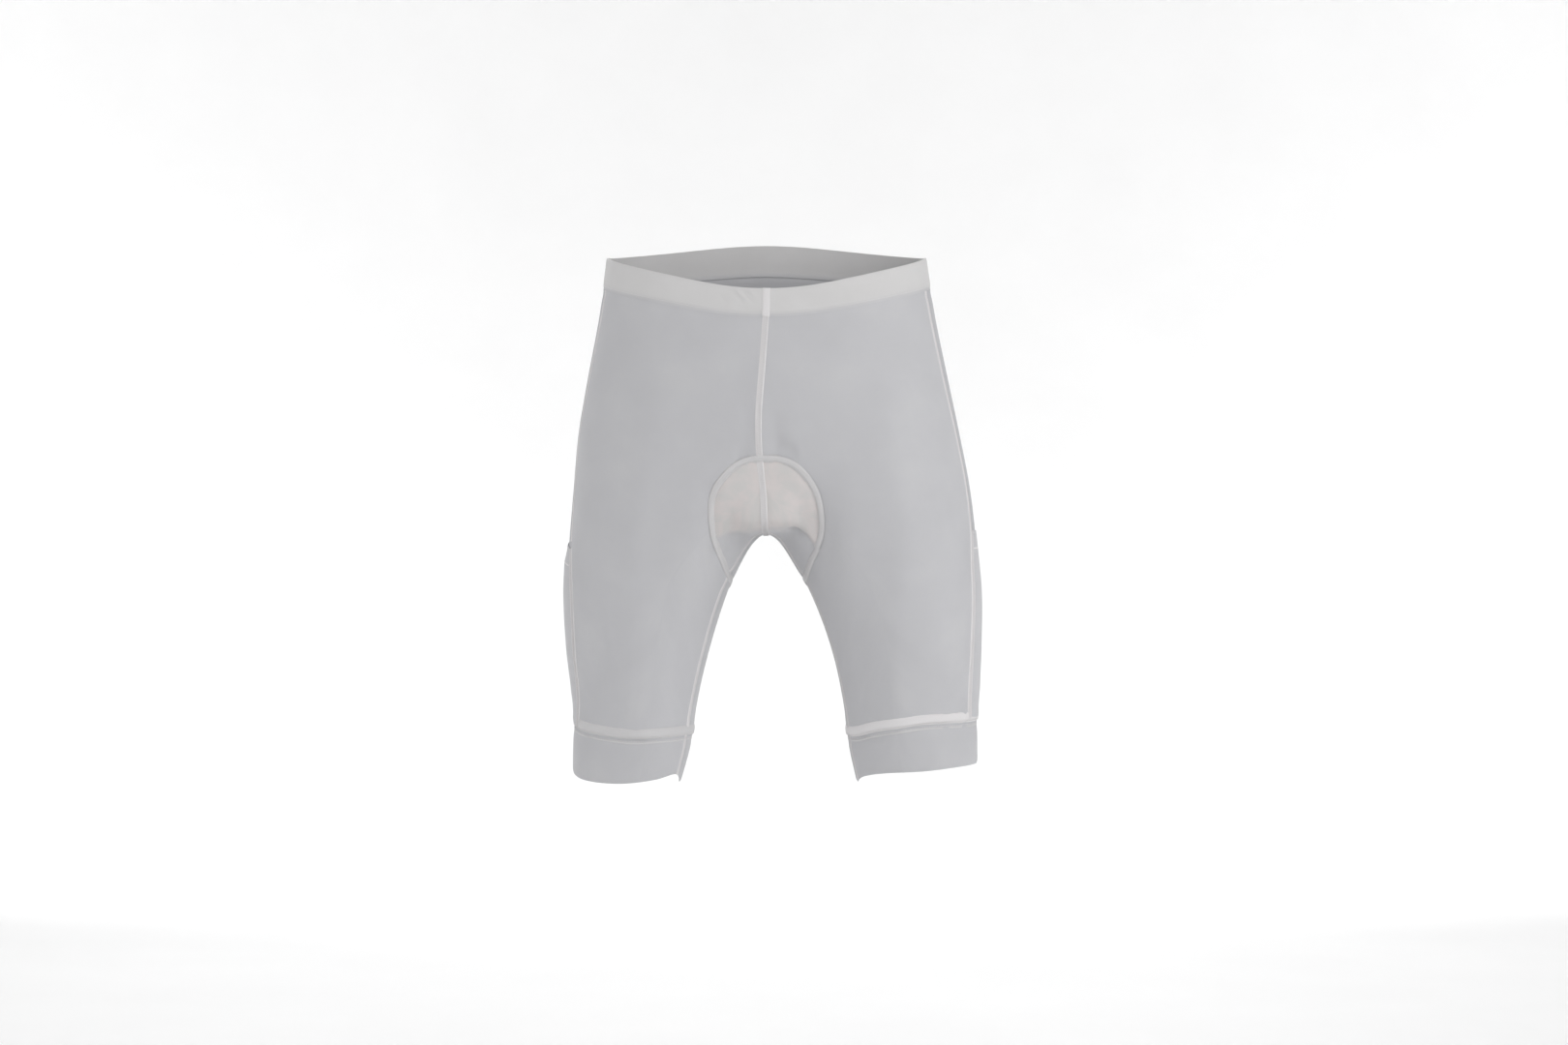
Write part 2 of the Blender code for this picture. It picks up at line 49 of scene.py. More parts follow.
cam = bpy.data.objects.new("camera", cam_data)
cam.location = CAM_AT
cam.rotation_euler = (math.radians(90), 0, 0)
bpy.context.scene.collection.objects.link(cam)
bpy.context.scene.camera = cam

# ================================================================ sizes (mm)
CLOTH = 1.2
BAND = 2.4
BAND_LIFT = 0.4
CUFF = 1.8
CUFF_LIFT = 0.2
POCKET = 1.0
GAP = 0.3
PAD_EDGE = 2.0
PAD_MIDDLE = 8.0
PAD_GAP = 2.6

BAND_HEIGHT = {"front": 28.5, "side": 31.5, "back": 33.0}
WAIST_DROP_FRONT = 39.5
WAIST_RISE_BACK = 22.0
FORK_Z = -238.0
RING_Z = -342.0
JOIN_BLEND = 52.0
POUCH_BLEND = 16.0

SECTION_COLUMNS = ("z", "outer_r", "outer_l", "inner_r", "inner_l", "front", "back", "power")
SECTIONS = [
    (30.0, 160.0, 161.5, -161.5, -160.0, -111.0, 106.0, 2.30),
    (0.0, 163.0, 165.0, -165.0, -163.0, -113.0, 106.0, 2.30),
    (-60.0, 171.0, 174.5, -158.0, -156.0, -117.0, 112.0, 2.35),
    (-120.0, 182.5, 187.0, -132.0, -130.0, -119.0, 127.0, 2.40),
    (-180.0, 193.0, 200.0, -90.0, -88.0, -117.0, 139.0, 2.45),
    (-240.0, 198.5, 211.5, -40.0, -38.0, -109.0, 134.0, 2.45),
    (-290.0, 202.5, 217.0, 12.0, 14.0, -99.0, 114.0, 2.35),
    (-315.0, 204.5, 218.5, 27.0, 30.0, -95.0, 104.0, 2.25),
    (-340.0, 205.5, 220.5, 37.5, 43.5, -91.0, 97.0, 2.20),
    (-400.0, 203.0, 220.5, 57.0, 67.0, -81.0, 88.0, 2.10),
    (-460.0, 197.0, 218.5, 71.0, 80.5, -70.0, 76.0, 2.05),
    (-500.0, 198.5, 218.5, 77.0, 85.5, -64.0, 68.0, 2.05),
    (-548.0, 199.0, 219.0, 90.0, 96.0, -60.0, 61.0, 2.05),
]
SEAM_COLUMNS = ("z", "front_r", "front_l", "back_r", "back_l")
SEAMS = [
    (20.0, -31.0, -38.0, 34.0, 34.0),
    (-60.0, -34.0, -43.0, 38.0, 38.0),
    (-150.0, -38.0, -50.0, 44.0, 44.0),
    (-230.0, -39.0, -51.0, 52.0, 52.0),
    (-290.0, -41.0, -48.0, 58.0, 58.0),
    (-350.0, -46.0, -46.0, 62.0, 62.0),
    (-420.0, -38.0, -43.0, 56.0, 56.0),
    (-480.0, -30.0, -38.0, 48.0, 48.0),
    (-548.0, -26.0, -34.0, 42.0, 42.0),
]
CENTRE_COLUMNS = ("z", "x")
CENTRE = [(0.0, 1.0), (-60.0, 1.0), (-120.0, -3.0), (-173.0, -6.5), (-206.0, -5.5), (-240.0, -2.0), (-285.0, 4.0)]
POUCH = {"x": 2.0, "y": -60.0, "z": -240.0, "rx": 43.0, "ry": 43.5, "rz": 41.0, "power": 3.2}
LEG_ANGLES = {"front": -104.0, "back": 116.0}
INSEAM_ANGLE = {"r": -152.0, "l": -166.0}
CUFF_COLUMNS = ("angle", "seam_r", "edge_r", "seam_l", "edge_l")
CUFF_LEVELS = [
    (-180.0, -489.0, -541.0, -490.0, -541.0),
    (-150.0, -488.0, -531.0, -489.0, -533.0),
    (-120.0, -489.0, -535.0, -482.0, -528.0),
    (-90.0, -489.0, -538.0, -476.0, -526.0),
    (-45.0, -484.0, -536.0, -474.0, -522.0),
    (0.0, -478.0, -530.0, -474.0, -521.0),
    (60.0, -482.0, -533.0, -478.0, -527.0),
    (120.0, -488.0, -536.0, -485.0, -532.0),
    (150.0, -489.0, -534.0, -488.0, -533.0),
    (180.0, -489.0, -541.0, -490.0, -541.0),
]
POCKET_MOUTH = {"r": -290.0, "l": -280.0}
PAD_COLUMNS = ("s", "half_r", "half_l")
PAD_START_Z = -210.0
PAD = [
    (0.0, 5.0, 16.0),
    (4.0, 19.0, 30.0),
    (11.0, 29.5, 39.0),
    (18.0, 37.0, 44.0),
    (27.0, 44.5, 48.5),
    (38.0, 50.0, 52.0),
    (52.0, 53.0, 55.0),
    (70.0, 53.0, 56.0),
    (95.0, 54.5, 57.0),
    (115.0, 58.5, 60.0),
    (138.0, 62.5, 64.0),
    (160.0, 62.0, 63.0),
    (205.0, 78.0, 78.0),
    (250.0, 88.0, 88.0),
    (290.0, 76.0, 76.0),
    (312.0, 44.0, 44.0),
    (318.0, 16.0, 16.0),
]

# how fine the cloth is made
N_INNER_FRONT, N_FRONT, N_SIDE, N_BACK, N_INNER_BACK = 38, 84, 30, 66, 46
N_BAND, N_TORSO, N_TO_POCKET, N_TO_RING, N_LEG, N_CUFF = 18, 68, 18, 24, 48, 20
N_PAD_LONG, N_PAD_HALF = 110, 26

# creases: a line from one place on the cloth to another, its width, its height (a trough is below
# zero), how far its middle bows sideways, all in mm; ends fade out
CREASE_COLUMNS = ("x0", "y0", "z0", "x1", "y1", "z1", "bow", "wide", "high")
CREASES = [
    # waistband, left of the centre front
    (-36, -113, -40, -22, -114, -55, 1, 2.3, -0.7),
    (-31, -113, -39, -15, -114, -54, -1, 2.0, 0.6),
    (-25, -114, -41, -9, -114, -58, 1, 2.4, -0.75),
    (-17, -114, -40, -8, -114, -50, 0, 2.0, 0.5),
    (-46, -112, -46, -38, -113, -56, 1, 2.4, -0.5),
    # the cloth sinks beside the centre seam above the pad
    (-21, -117, -148, -19, -112, -202, 3, 9.0, -1.7),
    (11, -117, -160, 15, -112, -202, -2, 9.0, -2.0),
    (-30, -117, -96, -24, -118, -150, 2, 13.0, -0.8),
    (4, -114, -203, 34, -112, -206, 3, 8.5, -2.8),
    (-32, -113, -207, -12, -114, -204, 2, 8.5, -1.8),
    (20, -118, -100, 12, -117, -158, -2, 13.0, -0.7),
    # between the pad and each thigh
    (62, -98, -214, 60, -64, -340, -3, 19.0, -6.2),
    (-60, -98, -222, -56, -66, -332, 3, 13.0, -3.6),
    # the crest of each thigh, from the hip to the cuff
    (-100, -118, -140, -128, -104, -290, -3, 17.0, 2.6),
    (-128, -104, -250, -134, -76, -420, 0, 17.0, 2.4),
    (-135, -82, -380, -134, -64, -524, 0, 18.0, 3.0),
    (118, -118, -150, 137, -106, -290, 3, 18.0, 2.2),
    (138, -106, -250, 134, -78, -420, 0, 17.0, 3.0),
    (134, -82, -370, 132, -62, -526, 0, 19.0, 3.4),
    # the inner side of each thigh is flatter
    (92, -74, -365, 101, -52, -490, 0, 12.0, -2.2),
    (-88, -68, -370, -98, -52, -490, 0, 11.0, -1.3),
    (-72, -106, -246, -50, -104, -262, 2, 6.0, 0.5),
    # front of the thighs
    (-170, -60, -352, -164, -58, -432, 3, 10.0, -1.7),
    (-183, -50, -318, -178, -50, -398, -3, 8.0, 0.9),
    (-154, -74, -372, -150, -68, -440, 2, 10.0, 0.8),
    (-112, -92, -318, -92, -86, -378, 4, 14.0, -0.9),
    (104, -94, -300, 92, -84, -388, -3, 12.0, -0.8),
    (160, -84, -330, 152, -74, -420, 3, 15.0, 0.7),
    # under the pouch
    (21, -84, -281, 31, -74, -291, 1, 2.6, -3.0),
    (-13, -74, -284, -4, -66, -295, -1, 2.6, -2.4),
    (34, -72, -288, 48, -64, -312, 2, 5.0, -1.1),
    (-34, -72, -290, -46, -64, -312, -2, 5.0, -0.9),
    # beside the pockets
    (207, -44, -424, 199, -60, -437, 1, 2.8, -1.0),
    (208, -42, -440, 200, -58, -453, 1, 2.8, -0.9),
    (207, -40, -456, 199, -56, -467, 1, 2.6, -0.9),
    (206, -38, -470, 200, -52, -479, 1, 2.4, -0.7),
    (-192, -42, -430, -186, -52, -439, 1, 3.0, -0.6),
    # over the cuffs
    (-136, -66, -491, -120, -66, -497, 1, 2.6, -0.8),
    (-150, -64, -489, -140, -65, -494, 1, 2.2, 0.5),
    (98, -34, -489, 124, -54, -492, -1, 3.0, -1.0),
    (176, -58, -475, 190, -50, -478, 1, 2.4, -0.5),
    # under the seat, at the back
    (-40, 116, -276, -118, 112, -292, -7, 9.0, -2.0),
    (44, 116, -274, 126, 112, -290, 7, 9.0, -1.7),
    (-52, 108, -296, -112, 104, -310, -5, 7.0, -1.2),
    (56, 108, -294, 116, 104, -306, 5, 8.0, -1.0),
    (-60, 104, -314, -100, 100, -340, -4, 8.0, -0.8),
    (64, 104, -312, 108, 100, -336, 4, 8.0, -0.9),
    (-20, 130, -170, -34, 132, -232, 3, 10.0, -0.9),
    (22, 130, -166, 38, 132, -236, -3, 10.0, -1.0),
    (-10, 118, -96, -60, 124, -112, 4, 9.0, -0.8),
    (12, 118, -92, 66, 122, -116, -4, 9.0, -0.7),
    (-70, 116, -70, -120, 96, -82, 3, 8.0, -0.7),
    (76, 114, -74, 124, 94, -80, -3, 8.0, -0.6),
    # behind the knees
    (-112, 66, -470, -156, 66, -480, -4, 5.0, -1.2),
    (-118, 68, -452, -160, 66, -460, 4, 6.0, -0.9),
    (126, 66, -466, 172, 66, -478, 4, 5.0, -1.1),
    (130, 70, -448, 170, 68, -458, -4, 6.0, -0.8),
    (-104, 80, -424, -140, 84, -432, 3, 7.0, -0.6),
    (120, 84, -420, 158, 82, -430, -3, 7.0, -0.7),
    # side panels
    (-184, 10, -118, -176, 34, -128, 2, 7.0, -0.7),
    (190, 8, -122, 182, 32, -132, -2, 7.0, -0.7),
    (-201, 6, -236, -192, 44, -246, 3, 8.0, -0.8),
    (213, 6, -232, 203, 44, -244, -3, 8.0, -0.8),
]
# the lower edge of the pouch: where it lies, how far it reaches to each side, its roll and the fold below it
FOLD_COLUMNS = ("x", "z")
FOLD = [(-46.0, -287.0), (-38.0, -282.0), (-20.0, -279.0), (0.0, -277.0), (20.0, -276.0), (34.0, -278.0), (42.0, -286.0), (50.0, -302.0)]
FOLD_ROLL = {"high": 1.5, "wide": 6.0, "up": 6.0}
FOLD_TROUGH = {"high": -3.6, "wide": 4.2, "down": 4.6}
# the pad pushes the cloth out inside its edge, and the cloth dips just outside it
PUFF = {"high": 1.3, "reach": 8.0, "dip": -0.8, "dip_reach": 6.0}
# pockets: how far the mouth hangs below its row at the front seam (mm), and how far the cloth stands off
POCKET_COLUMNS = ("side", "mouth_front", "mouth_back", "stand", "rise")
POCKETS = {"r": (10.0, 3.0, 2.3, 24.0), "l": (1.0, 5.0, 1.5, 40.0)}


# ================================================================ curves through the tables
def spline(rows, column, columns):
    k = columns.index(column)
    pts = sorted((r[0], r[k]) for r in rows)
    x = np.array([p[0] for p in pts])
    y = np.array([p[1] for p in pts])
    n = len(x)
    h = np.diff(x)
    slope = np.diff(y) / h
    m = np.zeros(n)
    m[0], m[-1] = slope[0], slope[-1]
    for i in range(1, n - 1):
        m[i] = (slope[i - 1] * h[i] + slope[i] * h[i - 1]) / (h[i - 1] + h[i])

    def curve(v):
        v = np.clip(v, x[0], x[-1])
        i = np.clip(np.searchsorted(x, v) - 1, 0, n - 2)
        t = (v - x[i]) / h[i]
        a = (1 + 2 * t) * (1 - t) ** 2
        b = t * (1 - t) ** 2
        c = t * t * (3 - 2 * t)
        d = t * t * (t - 1)
        return a * y[i] + b * h[i] * m[i] + c * y[i + 1] + d * h[i] * m[i + 1]
    return curve


SEC = {c: spline(SECTIONS, c, SECTION_COLUMNS) for c in SECTION_COLUMNS[1:]}
SEAM = {c: spline(SEAMS, c, SEAM_COLUMNS) for c in SEAM_COLUMNS[1:]}
CENTRE_X = spline(CENTRE, "x", CENTRE_COLUMNS)
CUFF_Z = {c: spline(CUFF_LEVELS, c, CUFF_COLUMNS) for c in CUFF_COLUMNS[1:]}
PAD_HALF = {c: spline(PAD, c, PAD_COLUMNS) for c in PAD_COLUMNS[1:]}
SIGN = {"r": -1.0, "l": 1.0}
NAMES = {"r": "right", "l": "left"}


def smooth(t):
    t = np.clip(t, 0.0, 1.0)
    return t * t * (3 - 2 * t)


# ================================================================ the form
def tube(side, z):
    outer, inner = SEC["outer_" + side](z), SEC["inner_" + side](z)
    front, back = SEC["front"](z), SEC["back"](z)
    return (SIGN[side] * (outer + inner) / 2, (front + back) / 2,
            (outer - inner) / 2, (back - front) / 2, SEC["power"](z))


def soft_min(a, b, k):
    h = np.maximum(k - np.abs(a - b), 0.0) / np.maximum(k, 1e-6)
    return np.minimum(a, b) - h ** 3 * k / 6.0


def tube_distance(p, side):
    cx, cy, a, b, n = tube(side, p[..., 2])
    dx, dy = p[..., 0] - cx, p[..., 1] - cy
    r = np.hypot(dx, dy)
    rho = (np.abs(dx / a) ** n + np.abs(dy / b) ** n) ** (1.0 / n)
    return r * (1.0 - 1.0 / np.maximum(rho, 1e-4))


def field(p):
    z = p[..., 2]
    cx = SEC["outer_l"](z) + SEC["inner_l"](z)
    k = JOIN_BLEND * smooth(cx / 120.0)
    d = soft_min(tube_distance(p, "l"), tube_distance(p, "r"), k)
    q = POUCH
    u = np.abs((p[..., 0] - q["x"]) / q["rx"])
    v = np.abs((p[..., 1] - q["y"]) / q["ry"])
    w = np.abs((z - q["z"]) / q["rz"])
    rho = (u ** q["power"] + v ** q["power"] + w ** q["power"]) ** (1 / q["power"])
    r = np.sqrt((p[..., 0] - q["x"]) ** 2 + (p[..., 1] - q["y"]) ** 2 + (z - q["z"]) ** 2)
    pouch = r * (1.0 - 1.0 / np.maximum(rho, 1e-4))
    return soft_min(d, pouch, POUCH_BLEND)


def gradient(p, h=0.4):
    g = np.empty_like(p)
    for i in range(3):
        e = np.zeros(3)
        e[i] = h
        g[..., i] = (field(p + e) - field(p - e)) / (2 * h)
    return g


def normals(p):
    g = gradient(p)
    return g / np.linalg.norm(g, axis=-1, keepdims=True)


def project(p, hold_x=False, steps=8, level=0.0):
    p = p.copy()
    for _ in range(steps):
        g = gradient(p)
        if hold_x:
            g[..., 0] = 0.0
        f = field(p) - level
        move = -f / np.maximum((g ** 2).sum(-1), 1e-3)
        p += np.clip(move, -12, 12)[..., None] * g
    return p


def cast(origin, direction, reach):
    lo, hi = np.zeros_like(reach), reach.copy()
    for _ in range(26):
        mid = (lo + hi) / 2
        inside = field(origin + mid[..., None] * direction) < 0
        lo, hi = np.where(inside, mid, lo), np.where(inside, hi, mid)
    return origin + ((lo + hi) / 2)[..., None] * direction


# ================================================================ lines on the form
def middle_point(z, back):
    z = np.asarray(z, float)
    x = CENTRE_X(z) * (0.0 if back else 1.0)
    cy = (SEC["front"](z) + SEC["back"](z)) / 2
    o = np.stack([x, cy, z], -1)
    d = np.zeros_like(o)
    d[..., 1] = 1.0 if back else -1.0
    return cast(o, d, np.full(z.shape, 190.0))


# the centre seams' depth at every height, looked up instead of cast again
MID_Z = np.linspace(45.0, FORK_Z - 2, 160)
MID_Y = {b: middle_point(MID_Z, b)[:, 1] for b in (False, True)}


def middle_y(z, back):
    return np.interp(z, MID_Z[::-1], MID_Y[back][::-1])


def even(p, n):
    step = np.linalg.norm(np.diff(p, axis=0), axis=1)
    s = np.concatenate([[0], np.cumsum(step)])
    t = np.linspace(0, s[-1], n + 1)
    return np.stack([np.interp(t, s, p[:, i]) for i in range(3)], -1)


def crotch_curve(front, back, inseam_y=-36.0):
    turn = np.linspace(0, 1, 961)
    f0 = middle_point(FORK_Z, False)
    a = math.pi * turn
    x = f0[0] * (1 - turn) ** 2 + 4.0 * 4 * turn * (1 - turn) ** 3
    o = np.stack([x, np.full_like(x, 6.0), np.full_like(x, FORK_Z)], -1)
    d = np.stack([0 * a, -np.cos(a), -np.sin(a)], -1)
    p = cast(o, d, np.full(a.shape, 170.0))
    k = int(np.argmax((p[:, 1] > inseam_y) & (p[:, 2] < FORK_Z - 20)))
    return np.concatenate([even(p[:k + 1], front), even(p[k:], back)[1:]])


def band_levels(angle):
    s = np.sin(np.radians(angle))
    front, back = np.maximum(-s, 0.0), np.maximum(s, 0.0)
    top = -WAIST_DROP_FRONT * front ** 1.35 + WAIST_RISE_BACK * back ** 1.35
    high = (BAND_HEIGHT["side"] + (BAND_HEIGHT["front"] - BAND_HEIGHT["side"]) * front ** 2
            + (BAND_HEIGHT["back"] - BAND_HEIGHT["side"]) * back ** 2)
    return top, top - high


def seam_angle(side, which, z):
    _, _, a, b, n = tube(side, z)
    dy = SEAM[which + "_" + side](z)
    dx = a * (1 - np.abs(dy / b) ** n) ** (1 / n)
    return np.degrees(np.arctan2(dy, dx))


def turn_angle(side, z, back):
    top = np.maximum(z, FORK_Z)
    mx = CENTRE_X(top) * (0.0 if back else 1.0)
    my = middle_y(top, back)
    c, y, _, _, _ = tube(side, top)
    a = np.degrees(np.arctan2(my - y, SIGN[side] * (mx - c)))
    end = LEG_ANGLES["back" if back else "front"]
    t = smooth((FORK_Z - z) / (FORK_Z - RING_Z))
    return a + (end - a) * t


K_FRONT = N_INNER_FRONT
K_SF = K_FRONT + N_FRONT
K_SB = K_SF + N_SIDE
K_BACK = K_SB + N_BACK
K_END = K_BACK + N_INNER_BACK
R_BAND = N_BAND
R_FORK = R_BAND + N_TORSO
R_POCKET = R_FORK + N_TO_POCKET
R_RING = R_POCKET + N_TO_RING
R_CUFF = R_RING + N_LEG
R_END = R_CUFF + N_CUFF
COLS = K_END + 1
OUTER = slice(K_FRONT, K_BACK + 1)


def outer_angles(side, z):
    """Angles of the columns from the front turn to the back turn, each at its own height; z is rows by columns."""
    keys = [turn_angle(side, z, False), seam_angle(side, "front", z), seam_angle(side, "back", z),
            turn_angle(side, z, True)]
    marks = [K_FRONT, K_SF, K_SB, K_BACK]
    j = np.arange(K_FRONT, K_BACK + 1)
    out = np.empty_like(z)
    for i in range(3):
        m = (j >= marks[i]) & (j <= marks[i + 1])
        t = ((j - marks[i]) / (marks[i + 1] - marks[i]))[m]
        out[..., m] = keys[i][..., m] * (1 - t) + keys[i + 1][..., m] * t
    return out


def radial(side, angle, z):
    cx, cy, a, b, _ = tube(side, z)
    r = np.radians(angle)
    d = np.stack([SIGN[side] * np.cos(r), np.sin(r), 0 * z], -1)
    o = np.stack([cx, cy, z], -1)
    reach = 1.45 * np.maximum(a, b)
    mx = np.where(d[..., 1] > 0, 0.0, CENTRE_X(z))
    toward = SIGN[side] * d[..., 0] < -1e-6
    limit = (cx - mx) * SIGN[side] / np.maximum(-SIGN[side] * d[..., 0], 1e-6)
    reach = np.where(toward, np.minimum(reach, limit), reach)
    return cast(o, d, reach)


def half(side):
    p = np.full((R_END + 1, COLS, 3), np.nan)
    wide = K_BACK - K_FRONT + 1
    top = np.zeros((1, wide))
    for _ in range(3):
        top, low = band_levels(outer_angles(side, top))
    f1 = (np.arange(R_BAND) / N_BAND)[:, None]
    f2 = (np.arange(N_TORSO + 1) / N_TORSO)[:, None]
    mouth = POCKET_MOUTH[side]
    below = np.concatenate([FORK_Z + (mouth - FORK_Z) * np.arange(1, N_TO_POCKET + 1) / N_TO_POCKET,
                            mouth + (RING_Z - mouth) * np.arange(1, N_TO_RING) / N_TO_RING])
    z = np.concatenate([top + (low - top) * f1, low + (FORK_Z - low) * f2,
                        np.repeat(below[:, None], wide, axis=1)])
    p[:R_RING, OUTER] = radial(side, outer_angles(side, z), z)
    for j, back in ((K_FRONT, False), (K_BACK, True)):
        p[:R_FORK + 1, j] = middle_point(p[:R_FORK + 1, j, 2], back)
    a0 = INSEAM_ANGLE[side]
    inner_f = a0 + (LEG_ANGLES["front"] - a0) * np.arange(N_INNER_FRONT) / N_INNER_FRONT
    inner_b = LEG_ANGLES["back"] + (a0 + 360 - LEG_ANGLES["back"]) * np.arange(1, N_INNER_BACK + 1) / N_INNER_BACK
    t = np.concatenate([np.arange(N_LEG + 1) / N_LEG, 1 + np.arange(1, N_CUFF + 1) / N_CUFF])[:, None]
    z = np.full((len(t), COLS), RING_Z)
    for _ in range(4):
        ang = np.concatenate([np.repeat(inner_f[None], len(t), 0), outer_angles(side, z[:, OUTER]),
                              np.repeat(inner_b[None], len(t), 0)], axis=1)
        w = (ang + 180) % 360 - 180
        seam, edge = CUFF_Z["seam_" + side](w), CUFF_Z["edge_" + side](w)
        z = np.where(t <= 1, RING_Z + (seam - RING_Z) * t, seam + (edge - seam) * (t - 1))
    p[R_RING:] = radial(side, ang, z)
    seam = crotch_curve(N_INNER_FRONT, N_INNER_BACK)
    p[R_FORK, :K_FRONT + 1] = seam[:N_INNER_FRONT + 1][::-1]
    p[R_FORK, K_BACK:] = seam[N_INNER_FRONT:][::-1]
    inner = np.array([j for j in range(COLS) if j < K_FRONT or j > K_BACK])
    t = (np.arange(1, R_RING - R_FORK) / (R_RING - R_FORK))[:, None, None]
    block = p[R_FORK, inner] * (1 - t) + p[R_RING, inner] * t
    p[R_FORK + 1:R_RING, inner] = project(block)
    for _ in range(60):
        ring = p[R_FORK:R_RING + 1, :-1]
        q = 0.5 * ring[1:-1] + 0.125 * (ring[:-2] + ring[2:]) + 0.125 * (
            np.roll(ring, 1, axis=1)[1:-1] + np.roll(ring, -1, axis=1)[1:-1])
        q = np.concatenate([q, q[:, :1]], axis=1)
        p[R_FORK + 1:R_RING, inner] = q[:, inner]
        p[R_FORK + 1:R_RING, K_END] = p[R_FORK + 1:R_RING, 0]
    p[R_FORK + 1:R_RING, inner] = project(p[R_FORK + 1:R_RING, inner], steps=6)
    p[:, K_END] = p[:, 0]
    return p


# ================================================================ creases and soft swellings
def crease_height(p):
    """How far the cloth stands off the plain form at its points, from the table of creases."""
    flat = p.reshape(-1, 3)
    out = np.zeros(len(flat))
    for row in CREASES:
        c = dict(zip(CREASE_COLUMNS, row))
        a = project(np.array([[c["x0"], c["y0"], c["z0"]]], float), steps=10)[0]
        b = project(np.array([[c["x1"], c["y1"], c["z1"]]], float), steps=10)[0]
        run = b - a
        length = np.linalg.norm(run)
        run = run / length
        m = (a + b) / 2
        n = normals(m[None])[0]
        across = np.cross(n, run)
        reach = length / 2 + c["wide"] * 3
        near = np.linalg.norm(flat - m, axis=1) < reach + 10
        d = flat[near] - m
        along = d @ run / (length / 2)
        side = d @ across - c["bow"] * (1 - along ** 2)
        facing = np.clip((normals(flat[near]) @ n) * 1.6, 0, 1)
        out[near] += c["high"] * np.exp(-(side / c["wide"]) ** 2) * smooth((1.15 - np.abs(along)) / 0.75) * facing
    return out.reshape(p.shape[:-1])


# ================================================================ the pad's grid and edge
def pad_grid():
    z = np.linspace(PAD_START_Z, FORK_Z, 60)
    zb = np.linspace(FORK_Z, FORK_Z + 130, 120)
    line = np.concatenate([middle_point(z, False)[:-1], crotch_curve(150, 250), middle_point(zb, True)[1:]])
    step = np.linalg.norm(np.diff(line, axis=0), axis=1)
    s = np.concatenate([[0], np.cumsum(step)])
    want = np.linspace(0, PAD[-1][0], N_PAD_LONG + 1)
    mid = np.stack([np.interp(want, s, line[:, i]) for i in range(3)], -1)
    mid = project(mid, hold_x=True)
    ahead = np.gradient(mid, axis=0)
    ahead[:, 0] = 0
    ahead /= np.linalg.norm(ahead, axis=1, keepdims=True)
    rows = {}
    for side in "rl":
        wide = PAD_HALF["half_" + side](want)
        p, cols = mid.copy(), [mid.copy()]
        for _ in range(N_PAD_HALF):
            out = np.cross(ahead, normals(p))
            out *= np.sign(out[:, 0:1]) * SIGN[side]
            out /= np.linalg.norm(out, axis=1, keepdims=True)
            p = project(p + out * (wide / N_PAD_HALF)[:, None], steps=2)
            cols.append(p.copy())
        rows[side] = cols
    return np.stack(rows["r"][::-1] + rows["l"][1:], 1), want


def even_path(p, n, step):
    """The same path in even steps, with its normals."""
    d = np.linalg.norm(np.diff(p, axis=0), axis=1)
    s = np.concatenate([[0], np.cumsum(d)])
    k = max(2, int(round(s[-1] / step)))
    t = np.linspace(0, s[-1], k + 1)
    q = np.stack([np.interp(t, s, p[:, i]) for i in range(3)], -1)
    m = np.stack([np.interp(t, s, n[:, i]) for i in range(3)], -1)
    return q, m / np.linalg.norm(m, axis=1, keepdims=True)


def smooth_loop(p, rounds):
    for _ in range(rounds):
        p = 0.5 * p + 0.25 * (np.roll(p, 1, 0) + np.roll(p, -1, 0))
    return p


def tree_of(points):
    tree = KDTree(len(points))
    for i, q in enumerate(points):
        tree.insert(q, i)
    tree.balance()
    return tree


PADG, PAD_S = pad_grid()
long, wide = PADG.shape[:2]
ring = ([(0, j) for j in range(wide)] + [(i, wide - 1) for i in range(1, long)]
        + [(long - 1, j) for j in range(wide - 2, -1, -1)] + [(i, 0) for i in range(long - 2, -1, -1)])
RIMP = np.array([PADG[i, j] for i, j in ring])
RIMP, _ = even_path(RIMP, np.repeat([[0.0, 0, 1]], len(RIMP), 0), 2.0)
RIMP = project(smooth_loop(RIMP[:-1], 14), steps=5)
RIMN = normals(RIMP)
PAD_TREE, RIM_TREE = tree_of(PADG.reshape(-1, 3)), tree_of(RIMP)
FOLD_Z = spline(FOLD, "z", FOLD_COLUMNS)


def pad_near(p):
    """For points on the form: 1 where the pad lies under the cloth, and how far the pad's edge is."""
    lo, hi = PADG.reshape(-1, 3).min(0) - 24, PADG.reshape(-1, 3).max(0) + 24
    inside, away = np.zeros(len(p)), np.full(len(p), 99.0)
    for i in np.where(((p > lo) & (p < hi)).all(1))[0]:
        inside[i] = 1.0 - min(1.0, max(0.0, (PAD_TREE.find(p[i])[2] - 1.8) / 1.4))
        away[i] = RIM_TREE.find(p[i])[2]
    return inside, away


